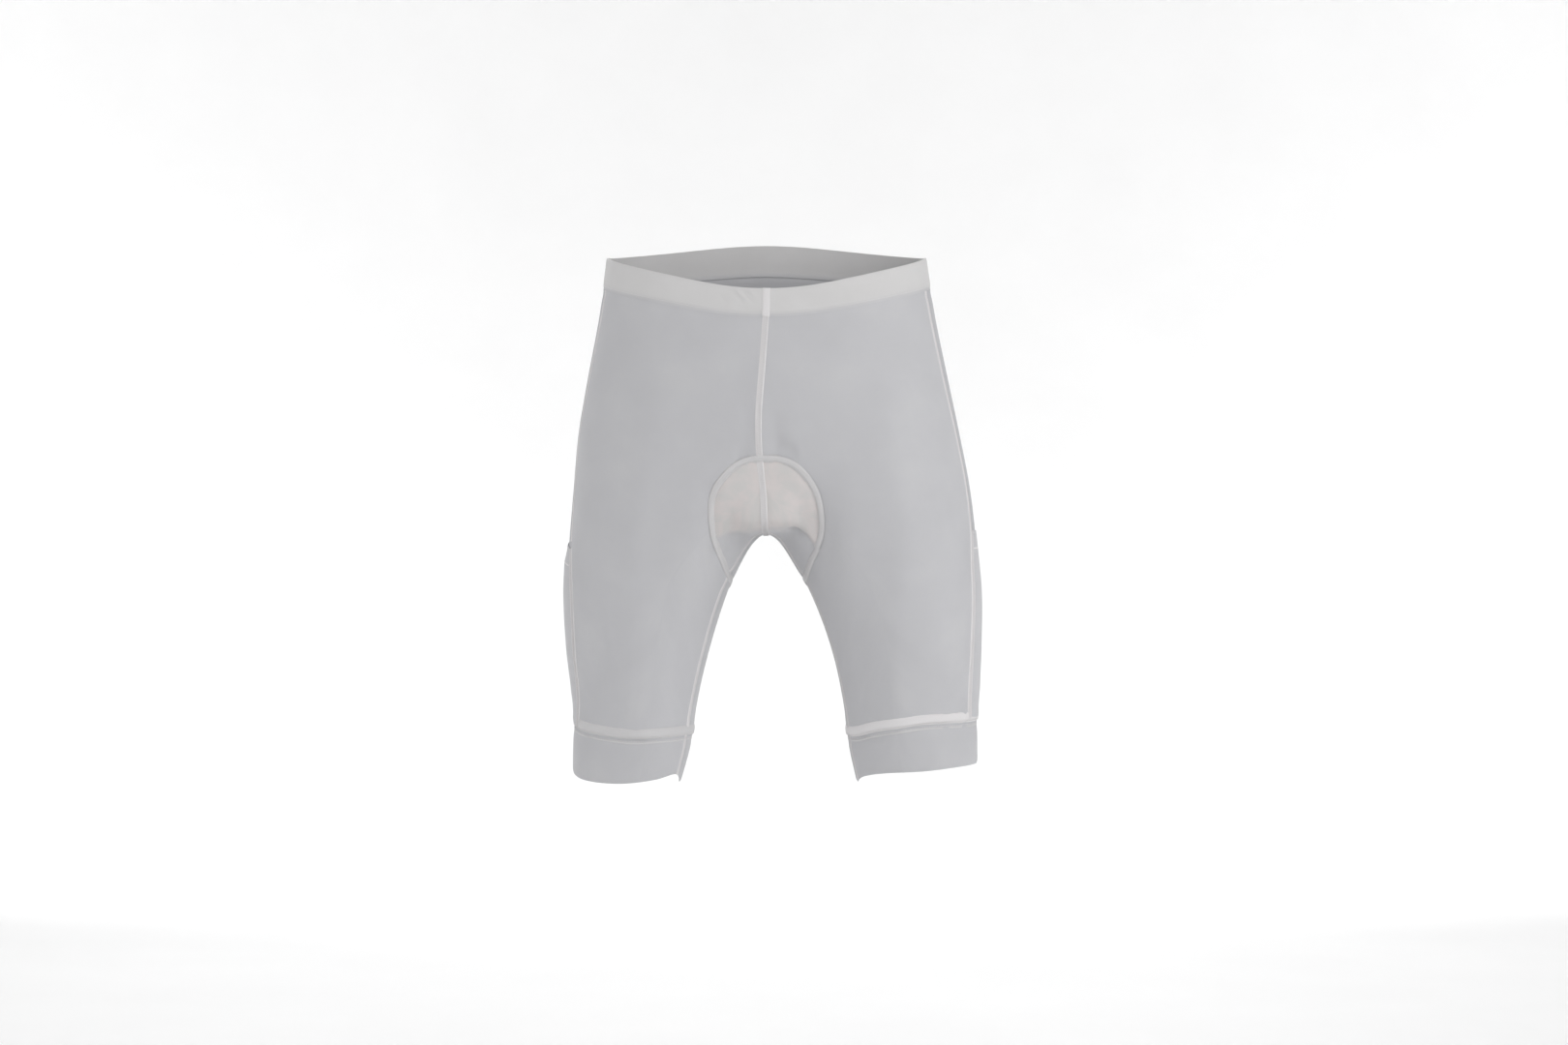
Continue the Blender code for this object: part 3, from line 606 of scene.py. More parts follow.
def relief(p, n):
    """How far the cloth stands off the plain form at points on it: creases, pouch fold and pad."""
    inside, away = pad_near(p)
    out = crease_height(p)
    f, g = FOLD_ROLL, FOLD_TROUGH
    fold = FOLD_Z(p[:, 0])
    facing = smooth((-n[:, 1] - 0.15) / 0.5) * smooth((58 - np.abs(p[:, 0] - 2)) / 30) * (p[:, 1] < -30)
    out += facing * f["high"] * np.exp(-((p[:, 2] - fold - f["up"]) / f["wide"]) ** 2)
    out += facing * g["high"] * np.exp(-((p[:, 2] - fold + g["down"]) / g["wide"]) ** 2)
    q = PUFF
    out += q["high"] * inside * (1 - np.exp(-(away / q["reach"]) ** 2))
    out += q["dip"] * (1 - inside) * np.exp(-away / q["dip_reach"])
    out += -0.9 * inside * np.exp(-((away - 3.2) / 1.7) ** 2)
    # the pad's warmer, lighter tone shows through the cloth over it; on the front it fades out around the pouch's
    # lower edge, painted shade on the underside where the pad lies as well, and at the back it is kept at 0.45
    pad_tint_fade_at_fold = np.where(p[:, 1] < 0, smooth((p[:, 2] - fold + 7) / 9), 0.45)
    return out, inside * pad_tint_fade_at_fold


POINTS = {s: half(s) for s in "rl"}
NORMALS, MASK, RELIEF = {}, {}, {}
for s in "rl":
    p = POINTS[s]
    v = ~np.isnan(p[..., 0])
    n, off, m = np.zeros_like(p), np.zeros(p.shape[:2]), np.zeros(p.shape[:2])
    n[v] = normals(p[v])
    off[v], m[v] = relief(p[v], n[v])
    # the leg's cloth rolls a little over the cuff's seam, and the cuff is drawn in below it
    down = np.linalg.norm(np.diff(p, axis=0), axis=2)
    down = np.nan_to_num(np.concatenate([np.zeros((1, COLS)), np.cumsum(np.nan_to_num(down), axis=0)]))
    below = down - down[R_CUFF]
    off += 0.3 * np.exp(-((below + 5) / 5.0) ** 2) - 0.7 * np.exp(-((below - 6) / 6.0) ** 2) * (below > -3)
    # the waistband's lower edge draws the cloth in a little
    under = down - down[R_BAND]
    off += -0.5 * np.exp(-((under - 5) / 5.0) ** 2) * (under > 0)
    POINTS[s] = np.where(v[..., None], p + n * off[..., None], p)
    NORMALS[s], MASK[s], RELIEF[s] = n, m, off
RIMP = RIMP + RIMN * relief(RIMP, RIMN)[0][:, None]


# ================================================================ materials
def nodes_of(name):
    mat = bpy.data.materials.new(name)
    mat.use_nodes = True
    return mat, mat.node_tree, mat.node_tree.nodes["Principled BSDF"]


def math_node(nt, op, a, b=None, c=None):
    n = nt.nodes.new("ShaderNodeMath")
    n.operation = op
    for i, v in enumerate((a, b, c)):
        if v is None:
            continue
        if hasattr(v, "is_linked"):
            nt.links.new(v, n.inputs[i])
        else:
            n.inputs[i].default_value = v
    return n.outputs[0]


def cloth_uv(nt):
    at = nt.nodes.new("ShaderNodeAttribute")
    at.attribute_name = "grain"
    sep = nt.nodes.new("ShaderNodeSeparateXYZ")
    nt.links.new(at.outputs["Vector"], sep.inputs[0])
    return at.outputs["Vector"], sep.outputs[0], sep.outputs[1], sep.outputs[2]


def noise(nt, vec, scale, detail=3.0, rough=0.55):
    n = nt.nodes.new("ShaderNodeTexNoise")
    n.inputs["Scale"].default_value = scale
    n.inputs["Detail"].default_value = detail
    n.inputs["Roughness"].default_value = rough
    nt.links.new(vec, n.inputs["Vector"])
    return n.outputs["Fac"]


def knit(name, colour, dark, light, rough, sheen, wale=0.62, course=0.48, bump=0.35, warm=None, ribs=0.0):
    """Fine stretch knit: wales and courses as bump, soft cloudy tone, sheen; warm is a second tone mixed in by the
    grain's third value: the pad showing through on the body (its fade below the pouch's fold is painted shade) and
    the panel's darker tone at the waistband's lower edge.
    """
    mat, nt, bsdf = nodes_of(name)
    vec, u, v, mask = cloth_uv(nt)
    # loops: columns of V shapes
    fu = math_node(nt, "FRACT", math_node(nt, "DIVIDE", u, wale))
    vee = math_node(nt, "ABSOLUTE", math_node(nt, "SUBTRACT", math_node(nt, "MULTIPLY", fu, 2.0), 1.0))
    row = math_node(nt, "ADD", math_node(nt, "DIVIDE", v, course), math_node(nt, "MULTIPLY", vee, 0.5))
    loop = math_node(nt, "SINE", math_node(nt, "MULTIPLY", row, 2 * math.pi))
    gutter = math_node(nt, "POWER", vee, 4.0)
    height = math_node(nt, "SUBTRACT", math_node(nt, "MULTIPLY", loop, 0.35), math_node(nt, "MULTIPLY", gutter, 0.8))
    if ribs:
        rib = math_node(nt, "SINE", math_node(nt, "MULTIPLY", v, 2 * math.pi / ribs))
        height = math_node(nt, "ADD", height, math_node(nt, "MULTIPLY", rib, 1.6))
    fuzz = noise(nt, vec, 1.6, 4.0)
    height = math_node(nt, "ADD", height, math_node(nt, "MULTIPLY", fuzz, 0.9))
    b = nt.nodes.new("ShaderNodeBump")
    b.inputs["Strength"].default_value = bump
    b.inputs["Distance"].default_value = 0.00012
    nt.links.new(height, b.inputs["Height"])
    nt.links.new(b.outputs[0], bsdf.inputs["Normal"])
    # tone: random cloud and speck, with painted shade making the knit's gutters, which the bump also sinks, a little
    # darker
    cloud = noise(nt, vec, 0.018, 3.0, 0.5)
    speck = noise(nt, vec, 0.9, 2.0, 0.6)
    tone = math_node(nt, "ADD", math_node(nt, "MULTIPLY", cloud, 0.7),
                     math_node(nt, "ADD", math_node(nt, "MULTIPLY", speck, 0.3), math_node(nt, "MULTIPLY", gutter, -0.10)))
    ramp = nt.nodes.new("ShaderNodeValToRGB")
    ramp.color_ramp.elements[0].position = 0.30
    ramp.color_ramp.elements[1].position = 0.68
    ramp.color_ramp.elements[0].color = (*dark, 1)
    ramp.color_ramp.elements[1].color = (*light, 1)
    mid = ramp.color_ramp.elements.new(0.5)
    mid.color = (*colour, 1)
    nt.links.new(tone, ramp.inputs[0])
    out = ramp.outputs[0]
    if warm is not None:
        mix = nt.nodes.new("ShaderNodeMix")
        mix.data_type = "RGBA"
        patch = nt.nodes.new("ShaderNodeValToRGB")
        patch.color_ramp.elements[0].position = 0.38
        patch.color_ramp.elements[1].position = 0.62
        patch.color_ramp.elements[0].color = (*warm[0], 1)
        patch.color_ramp.elements[1].color = (*warm[1], 1)
        nt.links.new(noise(nt, vec, 0.05, 3.0, 0.55), patch.inputs[0])
        nt.links.new(mask, mix.inputs[0])
        nt.links.new(out, mix.inputs[6])
        nt.links.new(patch.outputs[0], mix.inputs[7])
        out = mix.outputs[2]
    nt.links.new(out, bsdf.inputs["Base Color"])
    r = nt.nodes.new("ShaderNodeMapRange")
    r.inputs["To Min"].default_value = rough - 0.06
    r.inputs["To Max"].default_value = rough + 0.08
    nt.links.new(speck, r.inputs[0])
    nt.links.new(r.outputs[0], bsdf.inputs["Roughness"])
    bsdf.inputs["Sheen Weight"].default_value = sheen
    bsdf.inputs["Sheen Roughness"].default_value = 0.45
    bsdf.inputs["Specular IOR Level"].default_value = 0.32
    return mat


def rgb(r, g, b):
    """Linear colour of an sRGB one."""
    return tuple(((c / 255 + 0.055) / 1.055) ** 2.4 for c in (r, g, b))


BODY = knit("body_knit", rgb(191, 191, 194), rgb(188, 188, 191), rgb(195, 195, 197), 0.60, 0.08,
            warm=(rgb(203, 201, 200), rgb(210, 204, 203)))
# painted shade: the side panels take a darker copy of the body's knit, for the sides turned away from the front
SIDE_SHADE_KNIT = knit("side_knit_painted_shade", rgb(181, 181, 185), rgb(178, 178, 182), rgb(185, 185, 188), 0.62, 0.08)
POCK = knit("pocket_knit", rgb(192, 192, 195), rgb(189, 189, 192), rgb(196, 196, 198), 0.60, 0.08)
CUFFM = knit("cuff_knit", rgb(191, 191, 194), rgb(188, 188, 191), rgb(195, 195, 197), 0.64, 0.08, 0.55, 0.42, 0.45)
BANDM = knit("band_knit", rgb(207, 206, 206), rgb(204, 203, 203), rgb(210, 209, 209), 0.62, 0.08, 0.6, 0.45, 0.4,
             warm=(rgb(191, 191, 194), rgb(193, 193, 196)))
PADM = knit("pad_knit", rgb(206, 202, 199), rgb(201, 197, 194), rgb(211, 207, 204), 0.80, 0.20, 1.1, 0.9, 0.5)
SEAMM = knit("seam_tape", rgb(219, 217, 218), rgb(216, 214, 215), rgb(222, 220, 221), 0.66, 0.06, 0.8, 0.6, 0.4)
RIMM = knit("rim_tape", rgb(202, 201, 202), rgb(199, 198, 199), rgb(206, 205, 206), 0.66, 0.06, 0.8, 0.6, 0.4)
THREAD = knit("thread", rgb(225, 223, 224), rgb(222, 220, 221), rgb(228, 226, 227), 0.55, 0.03, 0.25, 0.35, 0.4)


# ================================================================ meshes
def finish_mesh(name, verts, polys, mat, grain=None, sharp=None):
    me = bpy.data.meshes.new(name)
    me.from_pydata((np.asarray(verts) * 0.001).tolist(), [], [tuple(int(i) for i in f) for f in polys])
    me.update()
    if grain is not None:
        at = me.attributes.new("grain", "FLOAT_VECTOR", "POINT")
        at.data.foreach_set("vector", np.asarray(grain, np.float32).ravel())
    me.shade_smooth()
    if sharp:
        me.set_sharp_from_angle(angle=math.radians(sharp))
    me.materials.append(mat)
    ob = bpy.data.objects.new(name, me)
    bpy.context.scene.collection.objects.link(ob)
    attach(ob, "root")
    return ob


def grain_of(p):
    """Distances round and down a grid of points, in mm, for the knit."""
    du = np.linalg.norm(np.diff(p, axis=1), axis=2)
    dv = np.linalg.norm(np.diff(p, axis=0), axis=2)
    du, dv = np.nan_to_num(du), np.nan_to_num(dv)
    u = np.concatenate([np.zeros((p.shape[0], 1)), np.cumsum(du, axis=1)], axis=1)
    v = np.concatenate([np.zeros((1, p.shape[1])), np.cumsum(dv, axis=0)], axis=0)
    u = u - u[:, [K_SF if p.shape[1] == COLS else 0]]
    return u, v


def shell(name, p, n, faces, thick, mat, lift=0.0, trim=GAP / 2, grain=None, swell=None, round_edge=0.0):
    """A closed wall on faces of a grid; its face is lift over the points and its back thick further in."""
    faces = np.asarray(faces)
    used, inv = np.unique(faces, return_inverse=True)
    faces = inv.reshape(faces.shape)
    q, nn = p[used], n[used]
    e = np.concatenate([faces[:, [0, 1]], faces[:, [1, 2]], faces[:, [2, 3]], faces[:, [3, 0]]])
    own = np.tile(np.arange(len(faces)), 4)
    code = e[:, 0].astype(np.int64) * len(used) + e[:, 1]
    back = e[:, 1].astype(np.int64) * len(used) + e[:, 0]
    border = ~np.isin(code, back)
    be, bo = e[border], own[border]
    run = q[be[:, 1]] - q[be[:, 0]]
    m = np.cross(nn[be[:, 0]] + nn[be[:, 1]], run)
    m /= np.maximum(np.linalg.norm(m, axis=1, keepdims=True), 1e-9)
    c = q[faces[bo]].mean(1) - (q[be[:, 0]] + q[be[:, 1]]) / 2
    m *= np.sign((m * c).sum(1))[:, None]
    total, first, second, count = (np.zeros_like(q), np.zeros_like(q), np.zeros_like(q), np.zeros(len(q)))
    for k in range(2):
        np.add.at(total, be[:, k], m)
        np.add.at(count, be[:, k], 1)
    first[be[:, 0]] = m
    second[be[:, 1]] = m
    on = count > 0
    dot = (first * second).sum(1)
    shift = np.zeros_like(q)
    shift[on] = trim * total[on] / np.maximum(0.3, 1 + dot[on])[:, None]
    up = np.full(len(q), float(lift))
    if swell is not None:
        up = up + swell.ravel()[used]
    out = q + shift + up[:, None] * nn
    inn = q + shift + (up - thick)[:, None] * nn
    if round_edge:
        out[on] -= nn[on] * round_edge
        inn[on] += nn[on] * round_edge
    k = len(q)
    verts = np.concatenate([out, inn])
    polys = [tuple(f) for f in faces] + [tuple(v + k for v in reversed(f)) for f in faces.tolist()]
    polys += [(b, a, a + k, b + k) for a, b in be.tolist()]
    g = None
    if grain is not None:
        gg = np.stack([x.ravel()[used] for x in grain], -1)
        g = np.concatenate([gg, gg])
    return finish_mesh(name, verts, polys, mat, g, sharp=48)


def grid_faces(rows, cols, side, wide=COLS):
    i, j = np.meshgrid(np.arange(*rows), np.arange(*cols), indexing="ij")
    i, j = i.ravel(), j.ravel()
    f = np.stack([i * wide + j, (i + 1) * wide + j, (i + 1) * wide + j + 1, i * wide + j + 1], -1)
    return f[:, ::-1] if side == "r" else f


def strip(name, p, n, profile, mat, closed=False, toward=None):
    """A tape laid along points p with normals n; profile is (across, height) in mm, its far side lying toward a direction."""
    t = np.gradient(p, axis=0) if not closed else np.roll(p, -1, 0) - np.roll(p, 1, 0)
    t /= np.maximum(np.linalg.norm(t, axis=1, keepdims=True), 1e-9)
    b = np.cross(n, t)
    b /= np.linalg.norm(b, axis=1, keepdims=True)
    prof = np.array(profile)
    if toward is not None and (b * np.asarray(toward)).sum(-1).mean() < 0:
        prof = prof[::-1] * [-1, 1]
    under = np.stack([prof[::-1, 0] * 0.96, np.full(len(prof), -0.25)], -1)
    ring = np.concatenate([prof, under])
    verts = (p[:, None] + b[:, None] * ring[None, :, 0:1] + n[:, None] * ring[None, :, 1:2]).reshape(-1, 3)
    k, m = len(ring), len(p)
    polys = []
    last = m if closed else m - 1
    for i in range(last):
        i2 = (i + 1) % m
        for j in range(k):
            j2 = (j + 1) % k
            polys.append((i * k + j, i2 * k + j, i2 * k + j2, i * k + j2))
    if not closed:
        polys.append(tuple(range(k)))
        polys.append(tuple((m - 1) * k + j for j in reversed(range(k))))
    s = np.concatenate([[0], np.cumsum(np.linalg.norm(np.diff(p, axis=0), axis=1))])
    grain = np.stack([np.tile(ring[:, 0], m), np.repeat(s, k), np.zeros(k * m)], -1)
    return finish_mesh(name, verts, polys, mat, grain, sharp=60)


def tube_mesh(path, radius, sides=3):
    """Points and faces of a thin tube along a path of points (closed ends)."""
    t = np.gradient(path, axis=0)
    t /= np.maximum(np.linalg.norm(t, axis=1, keepdims=True), 1e-9)
    ref = np.where(np.abs(t[:, 2:3]) > 0.9, np.array([[1.0, 0, 0]]), np.array([[0, 0, 1.0]]))
    a = np.cross(t, ref)
    a /= np.linalg.norm(a, axis=1, keepdims=True)
    b = np.cross(t, a)
    ang = np.arange(sides) * 2 * math.pi / sides
    v = path[:, None] + radius * (a[:, None] * np.cos(ang)[None, :, None] + b[:, None] * np.sin(ang)[None, :, None])
    m = len(path)
    polys = [(i * sides + j, i * sides + (j + 1) % sides, (i + 1) * sides + (j + 1) % sides, (i + 1) * sides + j)
             for i in range(m - 1) for j in range(sides)]
    polys.append(tuple(reversed(range(sides))))
    polys.append(tuple((m - 1) * sides + j for j in range(sides)))
    return v.reshape(-1, 3), polys


def frames_along(p, n):
    t = np.gradient(p, axis=0)
    t /= np.maximum(np.linalg.norm(t, axis=1, keepdims=True), 1e-9)
    b = np.cross(n, t)
    return t, b / np.linalg.norm(b, axis=1, keepdims=True)


def zigzag(p, n, half_wide, height, pitch=2.3, radius=0.17):
    """A cover thread that crosses a seam to and fro."""
    q, m = even_path(p, n, pitch / 4)
    _, b = frames_along(q, m)
    k = np.arange(len(q))
    w = np.array([-1.0, -0.35, 1.0, 0.35])[k % 4] * half_wide
    h = height + np.array([0.0, 0.14, 0.0, 0.14])[k % 4]
    return tube_mesh(q + b * w[:, None] + m * h[:, None], radius)


def dashes(p, n, across, height, pitch=2.5, fill=0.78, radius=0.2):
    """A row of straight stitches along a path."""
    q, m = even_path(p, n, pitch)
    t, b = frames_along(q, m)
    q = q + b * across + m * height
    c = (q[:-1] + q[1:]) / 2
    d = (q[1:] - q[:-1]) * fill / 2
    up = (m[:-1] + m[1:]) / 2
    side = b[:-1]
    rings = []
    for f, r, lift in ((-1.0, 0.25, -0.10), (-0.6, 1.0, 0.05), (0.6, 1.0, 0.05), (1.0, 0.25, -0.10)):
        o = c + d * f + up * lift
        rings.append(np.stack([o + side * radius * r, o + up * radius * r, o - side * radius * r, o - up * radius * r], 1))
    v = np.stack(rings, 1).reshape(-1, 3)
    polys = []
    for s in range(len(c)):
        z = s * 16
        for i in range(3):
            for j in range(4):
                polys.append((z + i * 4 + j, z + i * 4 + (j + 1) % 4, z + (i + 1) * 4 + (j + 1) % 4, z + (i + 1) * 4 + j))
        polys.append((z + 3, z + 2, z + 1, z))
        polys.append((z + 12, z + 13, z + 14, z + 15))
    return v, polys


def thread_piece(name, groups):
    verts, polys, k = [], [], 0
    for v, f in groups:
        verts.append(v)
        polys += [tuple(i + k for i in q) for q in f]
        k += len(v)
    v = np.concatenate(verts)
    grain = np.stack([v[:, 0], v[:, 2], 0 * v[:, 0]], -1)
    return finish_mesh(name, v, polys, THREAD, grain)


# ================================================================ the cloth pieces
PIECES, GRAIN, TAPES = {}, {}, {}
THREADS = {"r": [], "l": [], "m": []}
for s in "rl":
    u, v = grain_of(POINTS[s])
    GRAIN[s] = (u, v, MASK[s])


def pocket_grid(s):
    """The pocket's own grid: the side panel's columns cut at the mouth's line, how far each point is below it, its stand."""
    c = dict(zip(POCKET_COLUMNS[1:], POCKETS[s]))
    over = np.arange(N_SIDE + 1) / N_SIDE
    mouth = c["mouth_front"] * (1 - over) ** 2 + c["mouth_back"] * over ** 2
    rows = R_CUFF - R_POCKET + 1
    p, n, d = np.zeros((rows, N_SIDE + 1, 3)), np.zeros((rows, N_SIDE + 1, 3)), np.zeros((rows, N_SIDE + 1))
    for k in range(N_SIDE + 1):
        q, m = POINTS[s][R_POCKET:R_CUFF + 1, K_SF + k], NORMALS[s][R_POCKET:R_CUFF + 1, K_SF + k]
        run = np.concatenate([[0], np.cumsum(np.linalg.norm(np.diff(q, axis=0), axis=1))])
        want = mouth[k] + (run[-1] - mouth[k]) * np.linspace(0, 1, rows)
        for i in range(3):
            p[:, k, i], n[:, k, i] = np.interp(want, run, q[:, i]), np.interp(want, run, m[:, i])
        d[:, k] = want - mouth[k]
    n /= np.linalg.norm(n, axis=2, keepdims=True)
    arch = np.sin(math.pi * over)[None] ** 0.6
    stand = c["stand"] * arch * smooth(d / c["rise"]) * (1 - 0.8 * smooth((d - d[-1:] + 34) / 30))
    lip = 0.25 * arch * np.exp(-(d / 1.8) ** 2)
    return p, n, d, stand + lip


POCKET_GRID = {s: pocket_grid(s) for s in "rl"}


def cloth_pieces(s):
    p, n = POINTS[s].reshape(-1, 3), NORMALS[s].reshape(-1, 3)
    g, name = GRAIN[s], NAMES[s]
    front = np.concatenate([grid_faces((R_BAND, R_FORK), (K_FRONT, K_SF), s), grid_faces((R_FORK, R_CUFF), (0, K_SF), s)])
    back = np.concatenate([grid_faces((R_BAND, R_FORK), (K_SB, K_BACK), s), grid_faces((R_FORK, R_CUFF), (K_SB, K_END), s)])
    PIECES["front_" + name] = shell("front_panel_" + name, p, n, front, CLOTH, BODY, grain=g, trim=0.02)
    PIECES["side_" + name] = shell("side_panel_" + name, p, n, grid_faces((R_BAND, R_CUFF), (K_SF, K_SB), s), CLOTH, SIDE_SHADE_KNIT,
                                   grain=g, trim=0.02)
    PIECES["back_" + name] = shell("back_panel_" + name, p, n, back, CLOTH, BODY, grain=g, trim=0.02)
    q, m, d, stand = POCKET_GRID[s]
    pu, pv = grain_of(q)
    PIECES["pocket_" + name] = shell("pocket_cloth_" + name, q.reshape(-1, 3), m.reshape(-1, 3),
                                     grid_faces((0, q.shape[0] - 1), (0, N_SIDE), s, N_SIDE + 1), POCKET, POCK,
                                     lift=GAP + POCKET - 0.1, grain=(pu, pv, 0 * pu), swell=stand, round_edge=0.25)
    # the cuff's top is drawn in under the leg's seam, and its edge turns in a little
    down = np.zeros(POINTS[s].shape[:2])
    down[R_CUFF:] = np.concatenate([np.zeros((1, COLS)), np.cumsum(np.linalg.norm(
        np.diff(POINTS[s][R_CUFF:], axis=0), axis=2), axis=0)])
    edge = np.zeros_like(down)
    edge[R_CUFF:] = -0.6 * np.exp(-((down[R_END:] - down[R_CUFF:]) / 2.2) ** 2)
    PIECES["hem_" + name] = shell("leg_cuff_" + name, p, n, grid_faces((R_CUFF, R_END), (0, K_END), s), CUFF, CUFFM,
                                  lift=CUFF_LIFT, grain=g, swell=edge, round_edge=0.3, trim=0.02)
    for node in ("front_", "side_", "back_", "pocket_", "hem_"):
        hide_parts(node + name)


for s in "rl":
    cloth_pieces(s)

# waistband: one strip round the waist, its ends meeting at the centre front
RIGHT = [POINTS["r"][:R_BAND + 1, OUTER], NORMALS["r"][:R_BAND + 1, OUTER]]
LEFT = [POINTS["l"][:R_BAND + 1, OUTER], NORMALS["l"][:R_BAND + 1, OUTER]]
BAND_P, BAND_N = (np.concatenate([r, l[:, ::-1][:, 1:]], axis=1) for r, l in zip(RIGHT, LEFT))
bw = BAND_P.shape[1]
bu = np.concatenate([np.zeros((R_BAND + 1, 1)), np.cumsum(np.linalg.norm(np.diff(BAND_P, axis=1), axis=2), axis=1)], axis=1)
bv = np.concatenate([np.zeros((1, bw)), np.cumsum(np.linalg.norm(np.diff(BAND_P, axis=0), axis=2), axis=0)], axis=0)
bi, bj = np.meshgrid(np.arange(R_BAND), np.arange(bw - 1), indexing="ij")
bi, bj = bi.ravel(), bj.ravel()
bf = np.stack([bi * bw + bj, bi * bw + bj + 1, (bi + 1) * bw + bj + 1, (bi + 1) * bw + bj], -1)
up = bv[-1:] - bv
roll = 0.35 * smooth(bv / 3.0) * smooth((up - 1) / 7.0) - 0.45 * np.exp(-(up / 2.5) ** 2)
# the grain's third value gives the band the panel's darker tone over its lowest 6.5 mm
PIECES["waistband"] = shell("waistband_cloth", BAND_P.reshape(-1, 3), BAND_N.reshape(-1, 3), bf, BAND, BANDM, lift=BAND_LIFT,
                            grain=(bu, bv, 0.85 * smooth((6.5 - up) / 7.0)), swell=roll, round_edge=0.25, trim=0.02)
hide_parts("waistband")


# the pad
def build_pad():
    long, wide = PADG.shape[:2]
    u = (np.arange(long) / (long - 1) * 2 - 1)[:, None]
    w = ((np.arange(wide) - N_PAD_HALF) / N_PAD_HALF)[None, :]
    thick = PAD_EDGE + (PAD_MIDDLE - PAD_EDGE) * (1 - u ** 6) * (1 - np.abs(w) ** 3)
    # channels pressed in the foam: a middle one, one on either side, and two across
    s = PAD_S[:, None]
    for c, wd in ((0.0, 0.05), (0.52, 0.045), (-0.52, 0.045)):
        fade = smooth((s - 40) / 40) * smooth((290 - s) / 40)
        thick = thick - 2.4 * fade * np.exp(-((w - c) / wd) ** 2)
    for at in (95.0, 215.0):
        thick = thick - 1.6 * np.exp(-((s - at) / 3.0) ** 2) * smooth((0.9 - np.abs(w)) / 0.2)
    n = normals(PADG)
    off = relief(PADG.reshape(-1, 3), n.reshape(-1, 3))[0].reshape(long, wide)
    face = project(PADG, level=-(CLOTH + 0.6), steps=5) + n * off[..., None]
    back = project(PADG, level=-(CLOTH + 0.6), steps=5)
    back = project(back, level=-(CLOTH + 0.6) - thick, steps=6) + n * off[..., None]
    k = long * wide
    verts = np.concatenate([face.reshape(-1, 3), back.reshape(-1, 3)])
    i, j = np.meshgrid(np.arange(long - 1), np.arange(wide - 1), indexing="ij")
    i, j = i.ravel(), j.ravel()
    q = np.stack([i * wide + j, (i + 1) * wide + j, (i + 1) * wide + j + 1, i * wide + j + 1], -1)
    polys = [tuple(f) for f in q.tolist()] + [tuple(x + k for x in reversed(f)) for f in q.tolist()]
    rim = ([j for j in range(wide)] + [i * wide + wide - 1 for i in range(1, long)]
           + [(long - 1) * wide + j for j in range(wide - 2, -1, -1)] + [i * wide for i in range(long - 2, 0, -1)])
    polys += [(a, b, k + b, k + a) for a, b in zip(rim, rim[1:] + rim[:1])]
    du = np.cumsum(np.concatenate([np.zeros((long, 1)), np.linalg.norm(np.diff(PADG, axis=1), axis=2)], 1), 1)
    dv = np.repeat(PAD_S[:, None], wide, 1)
    g = np.stack([du.ravel(), dv.ravel(), 0 * du.ravel()], -1)
    return finish_mesh("seat_pad", verts, polys, PADM, np.concatenate([g, g]), sharp=50)


PIECES["pad"] = build_pad()
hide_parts("pad")

# ================================================================ seams: (across, height) of each tape in mm
FLATLOCK = [(-3.4, -0.15), (-3.1, 0.22), (-2.5, 0.50), (-1.3, 0.60), (0.0, 0.62), (1.3, 0.60), (2.5, 0.50), (3.1, 0.22), (3.4, -0.15)]
NARROW = [(-2.8, -0.15), (-2.5, 0.22), (-1.9, 0.48), (-0.9, 0.56), (0.0, 0.57), (0.9, 0.56), (1.9, 0.48), (2.5, 0.22), (2.8, -0.15)]
RIM = [(-4.2, -0.20), (-3.7, 0.35), (-2.8, 0.72), (-1.4, 0.86), (0.2, 0.86), (1.4, 0.66), (1.9, 0.02), (2.3, -0.30), (2.8, -0.16), (3.5, -0.3)]
HEM_ROLL = [(-3.1, -0.45), (-2.7, 0.20), (-1.6, 0.92), (0.4, 1.38), (2.6, 1.52), (4.8, 1.32), (6.6, 0.90), (7.6, 0.45), (8.0, -0.3)]
LINE = [(-1.2, -0.15), (-0.7, 0.24), (0.0, 0.34), (0.7, 0.24), (1.2, -0.15)]
POCKET_EDGE = [(-3.0, -0.15), (-2.5, 0.55), (-1.4, 1.25), (0.0, 1.62), (1.4, 1.78), (2.6, 1.62), (3.2, 1.00)]
CLOSING = [(-3.9, -0.3), (-3.5, 0.62), (-2.6, 0.80), (2.6, 0.55), (3.6, 0.32), (4.0, -0.2)]


def grid_path(s, rows=None, cols=None):
    return POINTS[s][rows, cols], NORMALS[s][rows, cols]


def seam(name, p, n, who, profile=NARROW, half=1.8, top=0.54, step=2.0, mat=None, toward=None):
    q, m = even_path(p, n, step)
    TAPES[name] = strip(name, q, m, profile, mat or SEAMM, toward=toward)
    THREADS[who].append(zigzag(q, m, half, top + 0.04))
    THREADS[who].append(dashes(q, m, -half, top - 0.16))
    THREADS[who].append(dashes(q, m, half, top - 0.16))


# centre front, over the pouch and under the crotch, and up the centre back
cf_p, cf_n = grid_path("l", slice(R_BAND, R_FORK + 1), K_FRONT)
cr_p = np.concatenate([POINTS["l"][R_FORK, :K_FRONT][::-1], POINTS["l"][R_FORK, K_BACK:K_END][::-1]])
cr_n = np.concatenate([NORMALS["l"][R_FORK, :K_FRONT][::-1], NORMALS["l"][R_FORK, K_BACK:K_END][::-1]])
cb_p, cb_n = POINTS["l"][R_BAND:R_FORK, K_BACK][::-1], NORMALS["l"][R_BAND:R_FORK, K_BACK][::-1]
seam("centre_seam", np.concatenate([cf_p, cr_p, cb_p]), np.concatenate([cf_n, cr_n, cb_n]), "m", FLATLOCK, 2.2, 0.58)

